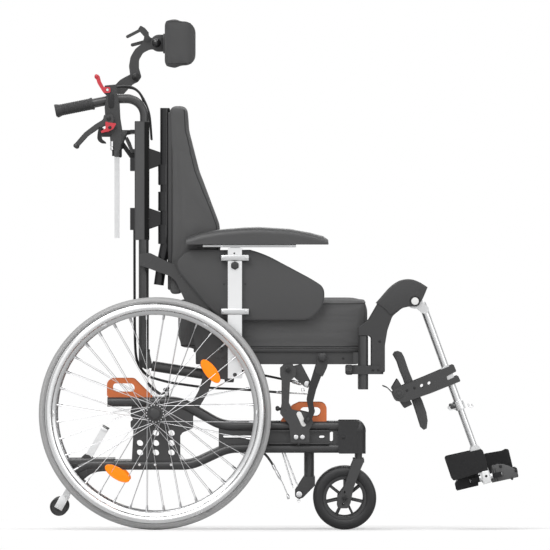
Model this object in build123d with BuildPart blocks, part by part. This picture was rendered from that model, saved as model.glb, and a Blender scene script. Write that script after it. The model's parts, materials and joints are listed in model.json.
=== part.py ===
from build123d import *
import math
import os

# Tilt-in-space wheelchair, millimetres. +X is forward, +Z is up, the right-hand side is -Y.
# The origin is on the floor, under the middle of the chair's bounding box.
# Each side is drawn on the right and mirrored; a "lane" is a distance from the middle plane.

# ---- driving dimensions ----
overall_length = 1258.2         # wheel's rear to footplate's tip
wheel_diameter = 610.0          # rear wheel over the tyre, 24 inch
wheel_x = (wheel_diameter - overall_length) / 2
wheel_z = wheel_diameter / 2
tyre_width = 34.0
tyre_height = 18.0
tyre_lane = 282.0               # middle plane of the rear tyre
rim_height = 27.0
rim_width = 24.0
spoke_count = 36
spoke_radius = 1.6
hub_radius = 24.0
hub_width = 40.0
axle_radius = 6.3
pushrim_radius = 277.0
pushrim_tube = 20.0
pushrim_lane = 318.0
pushrim_tabs = 6
running_fit = 0.05              # radial clearance of every shaft in its bore
touch_gap = 0.3                 # between pieces that move past each other

frame_tube = 25.0
frame_lane = 232.0              # middle plane of the chassis side frames
frame_plate = 8.0
sleeve_diameter = 32.0
rear_bore_radius = 9.0          # open rear ends of the upper frame tubes
rear_bore_depth = 100.0
upper_tube_line = [(-449.5, 335.5), (-259.5, 335.5), (-149.0, 272.0), (175.0, 272.0)]
lower_tube_line = [(-444.0, 169.5), (-228.0, 169.5), (-133.0, 214.0), (175.0, 214.0)]
sleeve_line = [(-535.0, 156.0), (-502.0, 169.5), (-431.0, 169.5)]
frame_bend = 110.0

caster_diameter = 166.0
caster_width = 30.0
caster_x = 174.0
caster_z = caster_diameter / 2
stem_x = 210.5
stem_radius = 9.2
housing_width = 36.0
housing_radius = 18.5
fork_thickness = 5.0
fork_gap = 3.0
caster_axle_radius = 5.0

tilt_pivot = (25.0, 419.5)       # front pivot of the seat on the sliding carriage
link_low = (-257.0, 286.5)           # rear link on the chassis
link_high = (-188.5, 413.0)          # rear link on the seat
back_pivot = (-154.0, 473.5)
spring_foot = (-346.5, 431.5)        # recline gas spring on the back
spring_head = (-130.5, 397.0)        # recline gas spring on the seat
tilt_spring_low = (-41.0, 242.0)
tilt_spring_high = (-64.5, 413.0)

cushion_half_width = 205.0
rail_lane = 185.0
rail_width = 20.0
link_lane = 198.0
link_plate = 6.0
hinge_lane = 206.0
hinge_plate = 5.0
arm_lane = 212.0
arm_plate = 5.0
panel_lane = 219.0
panel_thickness = 8.0
post_lane = 229.0
post_thickness = 16.0
carriage_lane = 240.3
carriage_block = 9.7
carriage_plate = 6.0
lever_lane = 258.0

back_lane = 183.0
back_tube = 25.0
sleeve_width = 26.0
handle_tube = 22.0
cable_diameter = 5.0

headrest_rod_size = 13.5
hanger_lane = 226.0
hanger_width = 26.0
hanger_post_radius = 13.0
knee_pivot = (358.5, 600.0)
leg_lane = 199.0
leg_tube = 18.4
lower_leg_tube = 15.8
leg_top = (378.0, 595.0)
leg_bottom = (478.5, 318.0)
calf_pivot = (316.0, 356.5)
footplate_tilt = 13.0
footplate_hinge = (545.5, 136.5)
footplate_hinge_lane = 174.0
footplate_thickness = 16.0
hinge_pin_radius = 4.0

antitip_axis = (-576.5, 60.0)
antitip_wheel_radius = 24.0

axle_hole_radius = 9.2          # spare axle positions in the plate
receiver_radius = 13.0
receiver_lane = 222.0
receiver_length = 26.0
link_pin_radius = 6.0
pivot_radius = 7.0
rear_cross = (-365.0, 169.5)
middle_cross = (-41.0, 214.0)
front_cross = (80.5, 214.0)
anchor_lane = 178.0
anchor_radius = 13.0
anchor_bottom = 110.0
spring_eye = 12.0
spring_pin = 5.0
tilt_stroke = 34.5
tilt_cylinder_radius = 13.0
tilt_rod_radius = 5.0
cylinder_start = 16.0
recline_stroke = 39.5
recline_cylinder_radius = 13.0
recline_rod_radius = 5.0
loop_plate = 6.0
stem_length = 44.0
stem_drop = 14.0
seat_cross_rear = (-143.5, 451.0)
seat_cross_middle = (-64.5, 451.0)
seat_cross_front = (157.0, 451.0)
pan_half_width = 200.0
hanger_post_low = 368.0
hanger_post_high = 508.0
hanger_pin_radius = 9.0
hanger_pin_length = 40.0
side_draw = 5.0
crown = 9.0
bar_width = 24.0
bar_thickness = 8.0
bar_length = 150.0
pad_width = 50.0
seat_cable_lane = 163.0
back_cable_lane = 163.0
handle_bend = 48.0
collar_radius = 15.0
collar_step = 0.5                # rail stands this far out of its collars at the front
bracket_width = 10.0
wing_inner = 145.0
housing_depth = 30.0
lever_pin = 4.0
spoke_cross = 60.0
pushrim_sides = 8
caster_rim = 49.0
caster_spokes = 7
antitip_lane = 206.0
antitip_axle = 4.0
antitip_wheel_gap = 1.0
antitip_wheel_width = 22.0
parking_pivot = (77.5, 290.5)
joint_tongue = 12.0
joint_width = 24.0
joint_pin = 4.0
headrest_half_width = 130.0
knee_pin = 6.0
telescope_depth = 150.0
telescope_engaged = 110.0
lower_leg_length = 128.0
calf_arm_thickness = 8.0
heel_guard = 5.0
tray_wall = 4.0
lever_plate = 5.0
lever_ball = 6.5
loop_hole_corner = 11.5
pan_front = 117.0
calf_pin = 5.0
calf_pad_inner = 60.0
plate_inner_lane = 15.0
plate_rear = 76.5

os.makedirs("parts", exist_ok=True)


# ---- small helpers ----
def polygon_plate(outline, lane, thickness, corner=0.0, mode=Mode.ADD):
    """A flat plate in the side plane, from lane outwards, with its corners rounded."""
    with BuildSketch(Plane.XZ.offset(lane)) as face:
        with BuildLine():
            FilletPolyline(*outline, radius=corner, close=True)
        make_face()
    extrude(face.sketch, amount=thickness, mode=mode)


def cross_pin(centre, radius, lane, length, mode=Mode.ADD):
    """A round bar across the chair, from lane outwards."""
    with BuildSketch(Plane.XZ.offset(lane)) as face:
        with Locations(centre):
            Circle(radius)
    extrude(face.sketch, amount=length, mode=mode)


def cross_box(low, high, lane, length, corner=0.0, mode=Mode.ADD):
    """A block between two opposite corners in the side plane, from lane outwards."""
    width = high[0] - low[0]
    height = high[1] - low[1]
    with BuildSketch(Plane.XZ.offset(lane)) as face:
        with Locations((low[0] + width / 2, low[1] + height / 2)):
            if corner:
                RectangleRounded(width, height, corner)
            else:
                Rectangle(width, height)
    extrude(face.sketch, amount=length, mode=mode)


def cross_slot(start, end, width, lane, length, mode=Mode.ADD):
    """A bar or slot with round ends between two points of the side plane."""
    rise = math.degrees(math.atan2(end[1] - start[1], end[0] - start[0]))
    with BuildSketch(Plane.XZ.offset(lane)) as face:
        with Locations(((start[0] + end[0]) / 2, (start[1] + end[1]) / 2)):
            SlotOverall(math.dist(start, end) + width, width, rotation=rise)
    extrude(face.sketch, amount=length, mode=mode)


def side_path(points, lane):
    """Points of the side plane, set at one lane on the right-hand side."""
    return [(x, -lane, z) for x, z in points]


def sweep_tube(route, diameter, bend=0.0, mode=Mode.ADD):
    """A round bar along straight runs joined by arcs."""
    with BuildLine() as path:
        if len(route) > 2:
            FilletPolyline(*route, radius=bend)
        else:
            Line(*route)
    with BuildSketch(Plane(path.line @ 0, z_dir=path.line % 0)) as section:
        Circle(diameter / 2)
    sweep(section.sketch, path=path.line, mode=mode)


def both_sides():
    """Repeats what the current piece holds on the other side of the chair."""
    mirror(about=Plane.XZ)


def keep(builder, name):
    builder.part.label = name
    export_step(builder.part, "parts/" + name + ".step")


def keep_pair(builder, name):
    """Writes the right-hand piece and its mirror image as two nodes."""
    keep(builder, name + "_right")
    with BuildPart() as left:
        mirror(builder.part, about=Plane.XZ)
    keep(left, name + "_left")


# ---- chassis ----
# Each side frame is one weldment: two tubes, the web between them with the carriage rail,
# and the axle plate with its rows of holes for other axle heights.
with BuildPart() as side_frames:
    sweep_tube(side_path(upper_tube_line, frame_lane), frame_tube, frame_bend)
    sweep_tube(side_path(lower_tube_line, frame_lane), frame_tube, frame_bend)
    sweep_tube(side_path(sleeve_line, frame_lane), sleeve_diameter, sleeve_diameter)
    # web with the long slot, the short slot and the square window
    web_lane = frame_lane - frame_plate / 2
    polygon_plate([(-157.0, 276.0), (-138.5, 272.0), (157.0, 272.0), (157.0, 214.0), (-133.0, 214.0),
                   (-157.0, 205.0)],
                  web_lane, frame_plate)
    cross_slot((-142.5, 243.0), (-31.5, 243.0), 8.0, web_lane, frame_plate, Mode.SUBTRACT)
    cross_slot((111.0, 242.5), (117.0, 242.5), 9.0, web_lane, frame_plate, Mode.SUBTRACT)
    cross_slot((139.5, 252.5), (139.5, 234.0), 9.0, web_lane, frame_plate, Mode.SUBTRACT)
    # rail lips that hold the carriage between them
    rail_floor = frame_lane + frame_plate / 2
    rail_low = (-25.0, 224.5)
    rail_high = (133.0, 261.5)
    lip = 3.5
    cross_box(rail_low, (rail_high[0], rail_low[1] + lip), rail_floor, 12.0)
    cross_box((rail_low[0], rail_high[1] - lip), rail_high, rail_floor, 12.0)
    # axle plate with its stepped edge and the lug of the rear link
    polygon_plate(
        [(-382.0, 334.0), (-254.5, 334.0), (-225.5, 307.5), (-225.5, 265.5), (-251.5, 255.0),
         (-259.5, 244.5), (-259.5, 170.5),
         (-386.0, 170.5), (-381.0, 260.0), (-388.5, 270.5), (-388.5, 284.0), (-382.0, 289.0),
             (-388.5, 299.5), (-388.5, 313.0)],
        web_lane, frame_plate, 2.0)
    for column, row in [(-323.0, 252.5), (-282.0, 252.5), (-365.0, 226.0), (-323.0, 226.0), (-282.0, 226.0),
                        (-365.0, 201.0), (-323.0, 201.0), (-282.0, 201.0)]:
        cross_pin((column, row), axle_hole_radius, web_lane, frame_plate, Mode.SUBTRACT)
    # axle receiver and the pivot pin of the rear link
    cross_pin((wheel_x, wheel_z), receiver_radius, receiver_lane, receiver_length)
    cross_pin((wheel_x, wheel_z), axle_radius + running_fit, receiver_lane, receiver_length,
              Mode.SUBTRACT)
    cross_pin(link_low, link_pin_radius, link_lane - 0.5, web_lane - link_lane + 0.5)
    # clamp that the anti-tip bar slides in
    cross_slot((-504.5, 182.0), (-519.0, 157.0), 30.0, antitip_lane - 9.0, frame_lane - antitip_lane - 5.0)
    cross_slot((-460.0, 259.0), (-570.5, 69.0), 17.0 + 2 * touch_gap, antitip_lane - 6.0 - touch_gap,
               12.0 + 2 * touch_gap, Mode.SUBTRACT)
    # open rear ends
    with BuildSketch(Plane.YZ.offset(upper_tube_line[0][0])) as bore:
        with Locations((-frame_lane, upper_tube_line[0][1])):
            Circle(rear_bore_radius)
    extrude(bore.sketch, amount=rear_bore_depth, mode=Mode.SUBTRACT)
    sweep_tube(side_path(sleeve_line[:2], frame_lane), sleeve_diameter - 8.0, mode=Mode.SUBTRACT)
    both_sides()
keep(side_frames, "side_frames")

# Transverse tubes tie the two side frames together. A pair of posts with cable brackets
# hangs from the front one, and a clevis on the middle one carries the tilt spring.
with BuildPart() as cross_tubes:
    for x, z in [rear_cross, middle_cross, front_cross]:
        cross_pin((x, z), frame_tube / 2, -frame_lane, 2 * frame_lane)
    with BuildSketch(Plane.XY.offset(front_cross[1])) as post:
        with Locations((front_cross[0], -anchor_lane)):
            Circle(anchor_radius)
    extrude(amount=anchor_bottom - front_cross[1])
    fillet(cross_tubes.edges().filter_by(GeomType.CIRCLE).sort_by(Axis.Z)[0], anchor_radius / 2)
    polygon_plate([(67.0, 139.0), (43.5, 102.0), (43.5, 86.5), (54.0, 79.5), (64.5, 83.5), (96.0, 115.5),
                   (96.0, 139.0)],
                  anchor_lane + anchor_radius - 1.0, 4.0, 2.0)
    cross_pin((54.0, 91.5), 8.0, anchor_lane + anchor_radius - 3.0, 9.0)
    both_sides()
    for lane in (-spring_eye / 2 - 6.5, spring_eye / 2 + 0.5):
        cross_slot(middle_cross, tilt_spring_low, 26.0, lane, 6.0)
    cross_pin(tilt_spring_low, spring_pin, -spring_eye / 2 - 7.0, spring_eye + 14.0)
    add(side_frames.part, mode=Mode.SUBTRACT)
keep(cross_tubes, "cross_tubes")

# Tie-down loops are flat plates welded on top of the side frames, front and rear.
with BuildPart() as tie_down_loops:
    loop_lane = frame_lane - loop_plate / 2
    loop_foot = upper_tube_line[0][1] + rear_bore_radius + 1.0
    polygon_plate([(-450.5, loop_foot), (-450.5, 397.0), (-381.0, 397.0), (-329.0, loop_foot)],
                  loop_lane, loop_plate, [10, 17, 14, 0])
    cross_box((-437.5, 360.5), (-378.0, 384.0), loop_lane, loop_plate, loop_hole_corner, Mode.SUBTRACT)
    polygon_plate([(6.5, 285.0), (35.5, 325.0), (54.0, 334.0), (126.5, 334.0), (126.5, 273.5),
                   (6.5, 273.5)], loop_lane, loop_plate, [2, 12, 14, 17, 12, 0])
    cross_box((56.5, 297.0), (110.5, 321.5), loop_lane, loop_plate, loop_hole_corner, Mode.SUBTRACT)
    both_sides()
    add(side_frames.part, mode=Mode.SUBTRACT)
keep(tie_down_loops, "tie_down_loops")

# Caster housings are moulded: a block over the tube ends and a round bearing barrel with a dome.
with BuildPart() as caster_housings:
    cross_box((157.0, 199.5), (209.5, 286.5), frame_lane - housing_width / 2, housing_width, 4.0)
    barrel_low = 199.5
    barrel_high = 255.0
    dome_top = 286.5
    with BuildSketch(Plane.XZ.offset(frame_lane)) as barrel:
        with BuildLine():
            Polyline((stem_x, dome_top), (stem_x, barrel_low), (stem_x + housing_radius, barrel_low),
                     (stem_x + housing_radius, barrel_high))
            ThreePointArc((stem_x + housing_radius, barrel_high),
                          (stem_x + 0.75 * housing_radius, barrel_high + 0.66 * (dome_top - barrel_high)),
                          (stem_x, dome_top))
        make_face()
    revolve(axis=Axis((stem_x, -frame_lane, 0), (0, 0, 1)))
    with BuildSketch(Plane.XY.offset(barrel_low)) as stem_bore:
        with Locations((stem_x, -frame_lane)):
            Circle(stem_radius + running_fit)
    extrude(amount=stem_length, mode=Mode.SUBTRACT)
    both_sides()
    add(side_frames.part, mode=Mode.SUBTRACT)
keep(caster_housings, "caster_housings")

# ---- tilt mechanism ----
# The carriage block runs between the rail lips; the plate on it carries the seat's front pivot.
with BuildPart() as tilt_carriages:
    block_low = (30.5, rail_low[1] + lip + touch_gap)
    block_high = (83.0, rail_high[1] - lip - touch_gap)
    cross_box(block_low, block_high, carriage_lane, carriage_block)
    plate_lane = carriage_lane + carriage_block
    polygon_plate(
        [(8.0, 394.5), (4.0, 405.0), (4.0, 423.5), (14.5, 433.0), (35.5, 433.0), (46.0, 423.5),
         (46.0, 405.0),
         (30.5, 389.5), (27.5, 331.5), (35.5, 315.5), (51.5, 313.0), (85.5, 305.0), (91.0, 281.5),
             (80.5, 260.0), (80.5, 228.5), (33.0, 228.5),
         (27.5, 276.0), (4.0, 305.0), (8.0, 328.5)],
        plate_lane, carriage_plate, 3.0)
    for x, z in [(46.0, 243.0), (63.0, 243.0)]:
        cross_pin((x, z), 6.0, plate_lane + carriage_plate, 4.0)
    cross_pin(tilt_pivot, pivot_radius, rail_lane + rail_width / 2 - 6.0,
              plate_lane - rail_lane - rail_width / 2 + 6.0)
    cross_pin(tilt_pivot, 9.0, plate_lane + carriage_plate, 4.0)
    cross_pin(parking_pivot, lever_pin, plate_lane + carriage_plate,
              lever_lane + 9.0 - plate_lane - carriage_plate)
    both_sides()
keep(tilt_carriages, "tilt_carriages")

# The rear links are sickle-shaped plates; their upper pin stops short of the seat's hinge plate.
with BuildPart() as rear_links:
    polygon_plate([(-199.0, 423.5), (-178.0, 421.0), (-175.0, 397.0), (-184.5, 360.5), (-207.0, 323.5),
                   (-241.0, 270.5),
                   (-270.0, 270.5), (-278.0, 294.5), (-254.5, 313.0), (-225.5, 336.5), (-209.5, 365.5),
                       (-201.5, 392.0)],
                  link_lane, link_plate, [8, 8, 10, 30, 60, 12, 12, 10, 20, 30, 20, 8])
    cross_pin(link_low, link_pin_radius + running_fit, link_lane, link_plate, Mode.SUBTRACT)
    cross_pin(link_high, 9.0, link_lane - 1.5, 1.5)
    both_sides()
keep(rear_links, "rear_links")

spring_run = math.dist(tilt_spring_low, tilt_spring_high)
tilt_axis = Plane(
    origin=(tilt_spring_low[0], 0, tilt_spring_low[1]),
    x_dir=(0, 1, 0),
    z_dir=(tilt_spring_high[0] - tilt_spring_low[0], 0, tilt_spring_high[1] - tilt_spring_low[1]),
)
# The tilt gas spring sits on the middle plane: an eye and a cylinder, with the rod inside it.
with BuildPart() as tilt_cylinder:
    with BuildSketch(tilt_axis.offset(cylinder_start)) as tube:
        Circle(tilt_cylinder_radius)
    extrude(amount=spring_run - tilt_stroke - 24.0 - cylinder_start)
    with BuildSketch(tilt_axis.offset(cylinder_start)) as neck:
        Circle(spring_eye / 2)
    extrude(amount=-cylinder_start / 2)
    cross_pin(tilt_spring_low, 12.5, -spring_eye / 2, spring_eye)
    cross_pin(tilt_spring_low, spring_pin + running_fit, -spring_eye / 2, spring_eye, Mode.SUBTRACT)
    with BuildSketch(tilt_axis.offset(spring_run - tilt_stroke - 24.0)) as bore:
        Circle(tilt_rod_radius + running_fit)
    extrude(amount=-tilt_stroke - 30.0, mode=Mode.SUBTRACT)
keep(tilt_cylinder, "tilt_spring_cylinder")

with BuildPart() as tilt_rod:
    with BuildSketch(tilt_axis.offset(spring_run - tilt_stroke - 46.0)) as rod:
        Circle(tilt_rod_radius)
    extrude(amount=tilt_stroke + 40.0)
    cross_pin(tilt_spring_high, 11.0, -spring_eye / 2, spring_eye)
keep(tilt_rod, "tilt_spring_rod")

# ---- seat ----
with BuildPart() as seat_frame:
    rail_bottom = 434.0
    rail_top = 465.5
    rail_rear = -217.5
    rail_front = 207.0
    cross_box((rail_rear, rail_bottom), (rail_front, rail_top), rail_lane - rail_width / 2, rail_width, 3.0)
    for x, z in [seat_cross_rear, seat_cross_middle, seat_cross_front]:
        cross_pin((x, z), 11.0, -rail_lane, 2 * rail_lane)
    # spacer to the hinge plate, bracket to the armrest post, boss of the tilt pivot
    cross_pin(seat_cross_rear, 11.0, rail_lane, hinge_lane - rail_lane)
    cross_box((-121.0, 397.0), (-100.0, 458.0), rail_lane, post_lane - rail_lane, 2.0)
    boss_lane = rail_lane - 4.0
    cross_pin(tilt_pivot, 14.0, boss_lane, carriage_lane - 6.0 - boss_lane)
    cross_box((12.0, 421.0), (38.0, 450.0), boss_lane, 14.0)
    cross_pin(tilt_pivot, pivot_radius + running_fit, boss_lane, 80.0, Mode.SUBTRACT)
    # cable bracket beside the boss
    polygon_plate([(35.5, 405.0), (41.0, 429.0), (60.5, 434.0), (85.5, 386.5), (77.5, 372.0),
                   (67.0, 376.0)],
                  carriage_lane - 10.0, 4.0, 2.0)
    cross_box((27.5, 408.0), (48.5, 429.0), carriage_lane - 24.0, 16.0)
    cross_pin(tilt_pivot, pivot_radius + running_fit, boss_lane, 80.0, Mode.SUBTRACT)
    cross_pin((75.0, 382.5), 8.0, carriage_lane - 6.0, 3.0)
    # posts that the leg hangers swing on
    hang_x = 222.5
    cross_box((196.5, 435.5), (220.0, 465.5), rail_lane - rail_width / 2,
              hanger_lane - rail_lane + rail_width / 2)
    with BuildSketch(Plane.XY.offset(hanger_post_low)) as post:
        with Locations((hang_x, -hanger_lane)):
            Circle(hanger_post_radius)
    extrude(amount=hanger_post_high - hanger_post_low)
    with BuildSketch(Plane.XY.offset(hanger_post_high)) as post_bore:
        with Locations((hang_x, -hanger_lane)):
            Circle(hanger_pin_radius + running_fit)
    extrude(amount=-hanger_pin_length - 2.0, mode=Mode.SUBTRACT)
    both_sides()
    # clevis of the tilt spring under the middle cross tube; the eye runs free between its ears
    for lane in (-spring_eye / 2 - 6.5, spring_eye / 2 + 0.5):
        cross_slot(seat_cross_middle, tilt_spring_high, 22.0, lane, 6.0)
    # ears for the recline spring
    for lane in (back_lane - spring_eye / 2 - 4.5, back_lane + spring_eye / 2 + 0.5):
        polygon_plate([(-149.0, 439.5), (-117.5, 439.5), (-117.5, 386.5), (-141.0, 386.5)], lane, 4.0, 2.0)
        polygon_plate([(-149.0, 439.5), (-117.5, 439.5), (-117.5, 386.5), (-141.0, 386.5)], -lane - 4.0,
                      4.0, 2.0)
    # seat pan
    cross_box((rail_rear, rail_top), (pan_front, 471.0 - touch_gap), -pan_half_width, 2 * pan_half_width)
keep(seat_frame, "seat_frame")

# The cushion is a foam block in a fitted cover: crowned top, sides drawn in between its edges.
with BuildPart() as seat_cushion:
    cushion_bottom = 471.0
    cushion_top = 608.0
    cushion_front = 232.0
    cushion_rear = -262.0
    polygon_plate([(cushion_rear, cushion_bottom + 8.0), (cushion_rear, cushion_top),
                   (cushion_front, cushion_top), (cushion_front, cushion_bottom),
                   (-220.0, cushion_bottom), (-222.5, cushion_bottom + 8.0)],
                  -cushion_half_width, 2 * cushion_half_width, [3, 6, 6, 6, 1, 1])
    with BuildSketch(Plane.YZ.offset(cushion_rear - 1.0)) as front_profile:
        with BuildLine():
            middle = (cushion_bottom + cushion_top) / 2
            edge = cushion_half_width
            Line((-edge, cushion_bottom), (edge, cushion_bottom))
            ThreePointArc((edge, cushion_bottom), (edge - side_draw, middle), (edge, cushion_top - crown))
            ThreePointArc((edge, cushion_top - crown), (0, cushion_top), (-edge, cushion_top - crown))
            ThreePointArc((-edge, cushion_top - crown), (-edge + side_draw, middle),
                          (-edge, cushion_bottom))
        make_face()
    extrude(amount=cushion_front - cushion_rear + 2.0, mode=Mode.INTERSECT)
keep(seat_cushion, "seat_cushion")

# Hinge plates stand outside the seat rails and carry the back's pivot bolts.
with BuildPart() as recline_plates:
    polygon_plate([(-233.0, 547.5), (-125.0, 547.5), (-125.0, 392.0), (-191.0, 400.0), (-207.0, 434.0),
                   (-220.0, 484.0)],
                  hinge_lane, hinge_plate, [4, 4, 6, 8, 20, 30])
    cross_pin(back_pivot, pivot_radius, hinge_lane, arm_lane + arm_plate - hinge_lane + 1.0)
    cross_pin(back_pivot, 10.0, arm_lane + arm_plate + touch_gap, 1.2)
    both_sides()
keep(recline_plates, "recline_plates")

# Armrest posts are flat aluminium tubes bolted to the seat frame; the pad's bar slides in them.
with BuildPart() as armrest_posts:
    post_low = (-133.0, 397.0)
    post_high = (-96.0, 740.0)
    cross_box(post_low, post_high, post_lane, post_thickness, 1.5)
    post_x = (post_low[0] + post_high[0]) / 2
    post_middle = post_lane + post_thickness / 2
    with BuildSketch(Plane.XY.offset(post_high[1])) as bar_bore:
        with Locations((post_x, -post_middle)):
            Rectangle(bar_width + 2 * running_fit, bar_thickness + 2 * running_fit)
    extrude(amount=-bar_length - 10.0, mode=Mode.SUBTRACT)
    both_sides()
keep(armrest_posts, "armrest_posts")

# Side panels are padded boards; black clamps hold them to the armrest posts.
with BuildPart() as side_panels:
    polygon_plate(
        [(-251.5, 732.0), (-75.0, 732.0), (-41.0, 722.5), (88.5, 655.5), (118.5, 631.5), (118.5, 595.0),
         (99.0, 566.0),
         (70.0, 552.5), (-141.0, 552.5), (-180.5, 584.5), (-259.5, 676.5), (-270.0, 703.0)],
        panel_lane, panel_thickness, [20, 10, 20, 16, 16, 20, 20, 10, 10, 20, 8, 12])
    chamfer(side_panels.faces().sort_by(Axis.Y)[0].edges(), 2.0)
    for row in [713.5, 572.5]:
        cross_box((-151.5, row - 8.0), (-77.5, row + 8.0), panel_lane + panel_thickness,
                  post_lane + post_thickness + 3.0 - panel_lane - panel_thickness, 2.0)
    cross_box((post_low[0] - touch_gap, post_low[1]), (post_high[0] + touch_gap, post_high[1]),
              post_lane - 1.0, post_thickness + 1.0 + touch_gap, mode=Mode.SUBTRACT)
    both_sides()
keep(side_panels, "side_panels")

# Armrest pads: a moulded arm pad on a channel whose bar telescopes in the post.
with BuildPart() as armrest_pad:
    pad_lane = post_middle - pad_width / 2
    with BuildSketch(Plane.XZ.offset(pad_lane)) as pad_side:
        with BuildLine():
            Polyline((-240.0, 766.0), (-243.5, 749.0), (131.5, 749.0), (129.0, 762.0))
            ThreePointArc((129.0, 762.0), (-54.0, 795.0), (-240.0, 766.0))
        make_face()
    extrude(amount=pad_width)
    fillet(armrest_pad.edges().group_by(Axis.Z)[-1], 4.0)
    cross_box((-199.0, 741.0), (46.0, 749.0), post_middle - 12.0, 24.0)
    with BuildSketch(Plane.XY.offset(742.5)) as bar:
        with Locations((post_x, -post_middle)):
            Rectangle(bar_width, bar_thickness)
    extrude(amount=-bar_length)
keep_pair(armrest_pad, "armrest_pad")

# Control cables under the seat, clipped to the seat frame's inner side.
def cable_run(points, lane, diameter=cable_diameter, bend=12.0):
    sweep_tube(side_path(points, lane), diameter, bend)


with BuildPart() as seat_cables:
    cable_run([(-338.5, 400.0), (-296.5, 386.5), (-243.5, 379.0), (-186.0, 371.0), (-106.5, 368.0),
               (-43.5, 363.0), (6.5, 359.0)],
              seat_cable_lane)
    cable_run([(6.5, 359.0), (77.5, 355.0)], seat_cable_lane, 2.0)
    cable_run([(-122.5, 423.5), (-75.0, 410.5), (-27.5, 402.5), (46.0, 386.5)], seat_cable_lane)
    cross_box((43.5, 373.5), (56.5, 389.5), seat_cable_lane - 4.0, 8.0)
    cross_box((-112.0, 363.0), (-101.5, 439.5), seat_cable_lane + 2.6,
              rail_lane - rail_width / 2 - seat_cable_lane - 2.6)
    both_sides()
keep(seat_cables, "seat_cables")

# ---- back ----
post_centre = -355.0
sleeve_rear = -378.0
sleeve_front = -341.0
with BuildPart() as back_posts:
    cross_box((sleeve_rear, 761.0), (sleeve_front, 1073.0), back_lane - sleeve_width / 2, sleeve_width, 2.0)
    sweep_tube([(post_centre, -back_lane, 761.0), (post_centre, -back_lane, 465.5)], back_tube)
    # foot with the two ears of the recline spring
    cross_box((-366.5, 444.5), (-341.0, 471.0), back_lane - 13.0, 26.0, 3.0)
    for lane in (back_lane - spring_eye / 2 - 5.5, back_lane + spring_eye / 2 + 0.5):
        polygon_plate([(-365.0, 465.5), (-341.0, 465.5), (-333.5, 431.5), (-346.5, 418.5),
                       (-359.5, 431.5)], lane, 5.0, [0, 0, 8, 8, 8])
    cross_pin(spring_foot, spring_pin, back_lane - spring_eye / 2 - 6.5, spring_eye + 13.0)
    # flat bar down to the back pivot
    cross_box((-365.0, 692.5), (-340.0, 724.0), back_lane, arm_lane + arm_plate - back_lane, 3.0)
    polygon_plate([(-359.5, 726.5), (-338.5, 726.5), (-257.0, 687.0), (-238.5, 668.5), (-130.5, 502.5),
                   (-125.0, 471.0), (-154.0, 444.5),
                   (-180.5, 460.5), (-270.0, 653.0), (-286.0, 666.0), (-359.5, 692.5)],
                  arm_lane, arm_plate, [4, 6, 14, 20, 20, 20, 24, 20, 20, 12, 4])
    cross_pin(back_pivot, pivot_radius + running_fit, arm_lane, arm_plate, Mode.SUBTRACT)
    # push handle: a bent tube that sits in the top of the post
    handle_line = [(-353.0, 1060.0), (-353.0, 1133.5), (-428.0, 1133.0), (-575.5, 1103.5)]
    sweep_tube(side_path(handle_line, back_lane), handle_tube, handle_bend)
    both_sides()
keep(back_posts, "back_posts")

with BuildPart() as push_grips:
    grip_start = (-487.5, 1120.5)
    grip_end = (-587.0, 1100.5)
    grip_length = math.dist(grip_start, grip_end)
    grip_axis = Plane(origin=(grip_start[0], -back_lane, grip_start[1]), x_dir=(0, 1, 0),
                      z_dir=(grip_end[0] - grip_start[0], 0, grip_end[1] - grip_start[1]))
    with BuildSketch(Plane(grip_axis.origin, x_dir=grip_axis.z_dir, z_dir=grip_axis.x_dir)) as grip_half:
        with BuildLine():
            Polyline((grip_length, 0), (0, 0), (0, 14.5), (6, 14.5), (9, 13))
            ThreePointArc((9, 13), (grip_length / 2, 14), (grip_length - 12, 13.5))
            Polyline((grip_length - 12, 13.5), (grip_length - 5, 16.5), (grip_length, 16), (grip_length, 0))
        make_face()
    revolve(axis=Axis(grip_axis.origin, grip_axis.z_dir))
    both_sides()
    add(back_posts.part, mode=Mode.SUBTRACT)
keep(push_grips, "push_grips")

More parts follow.
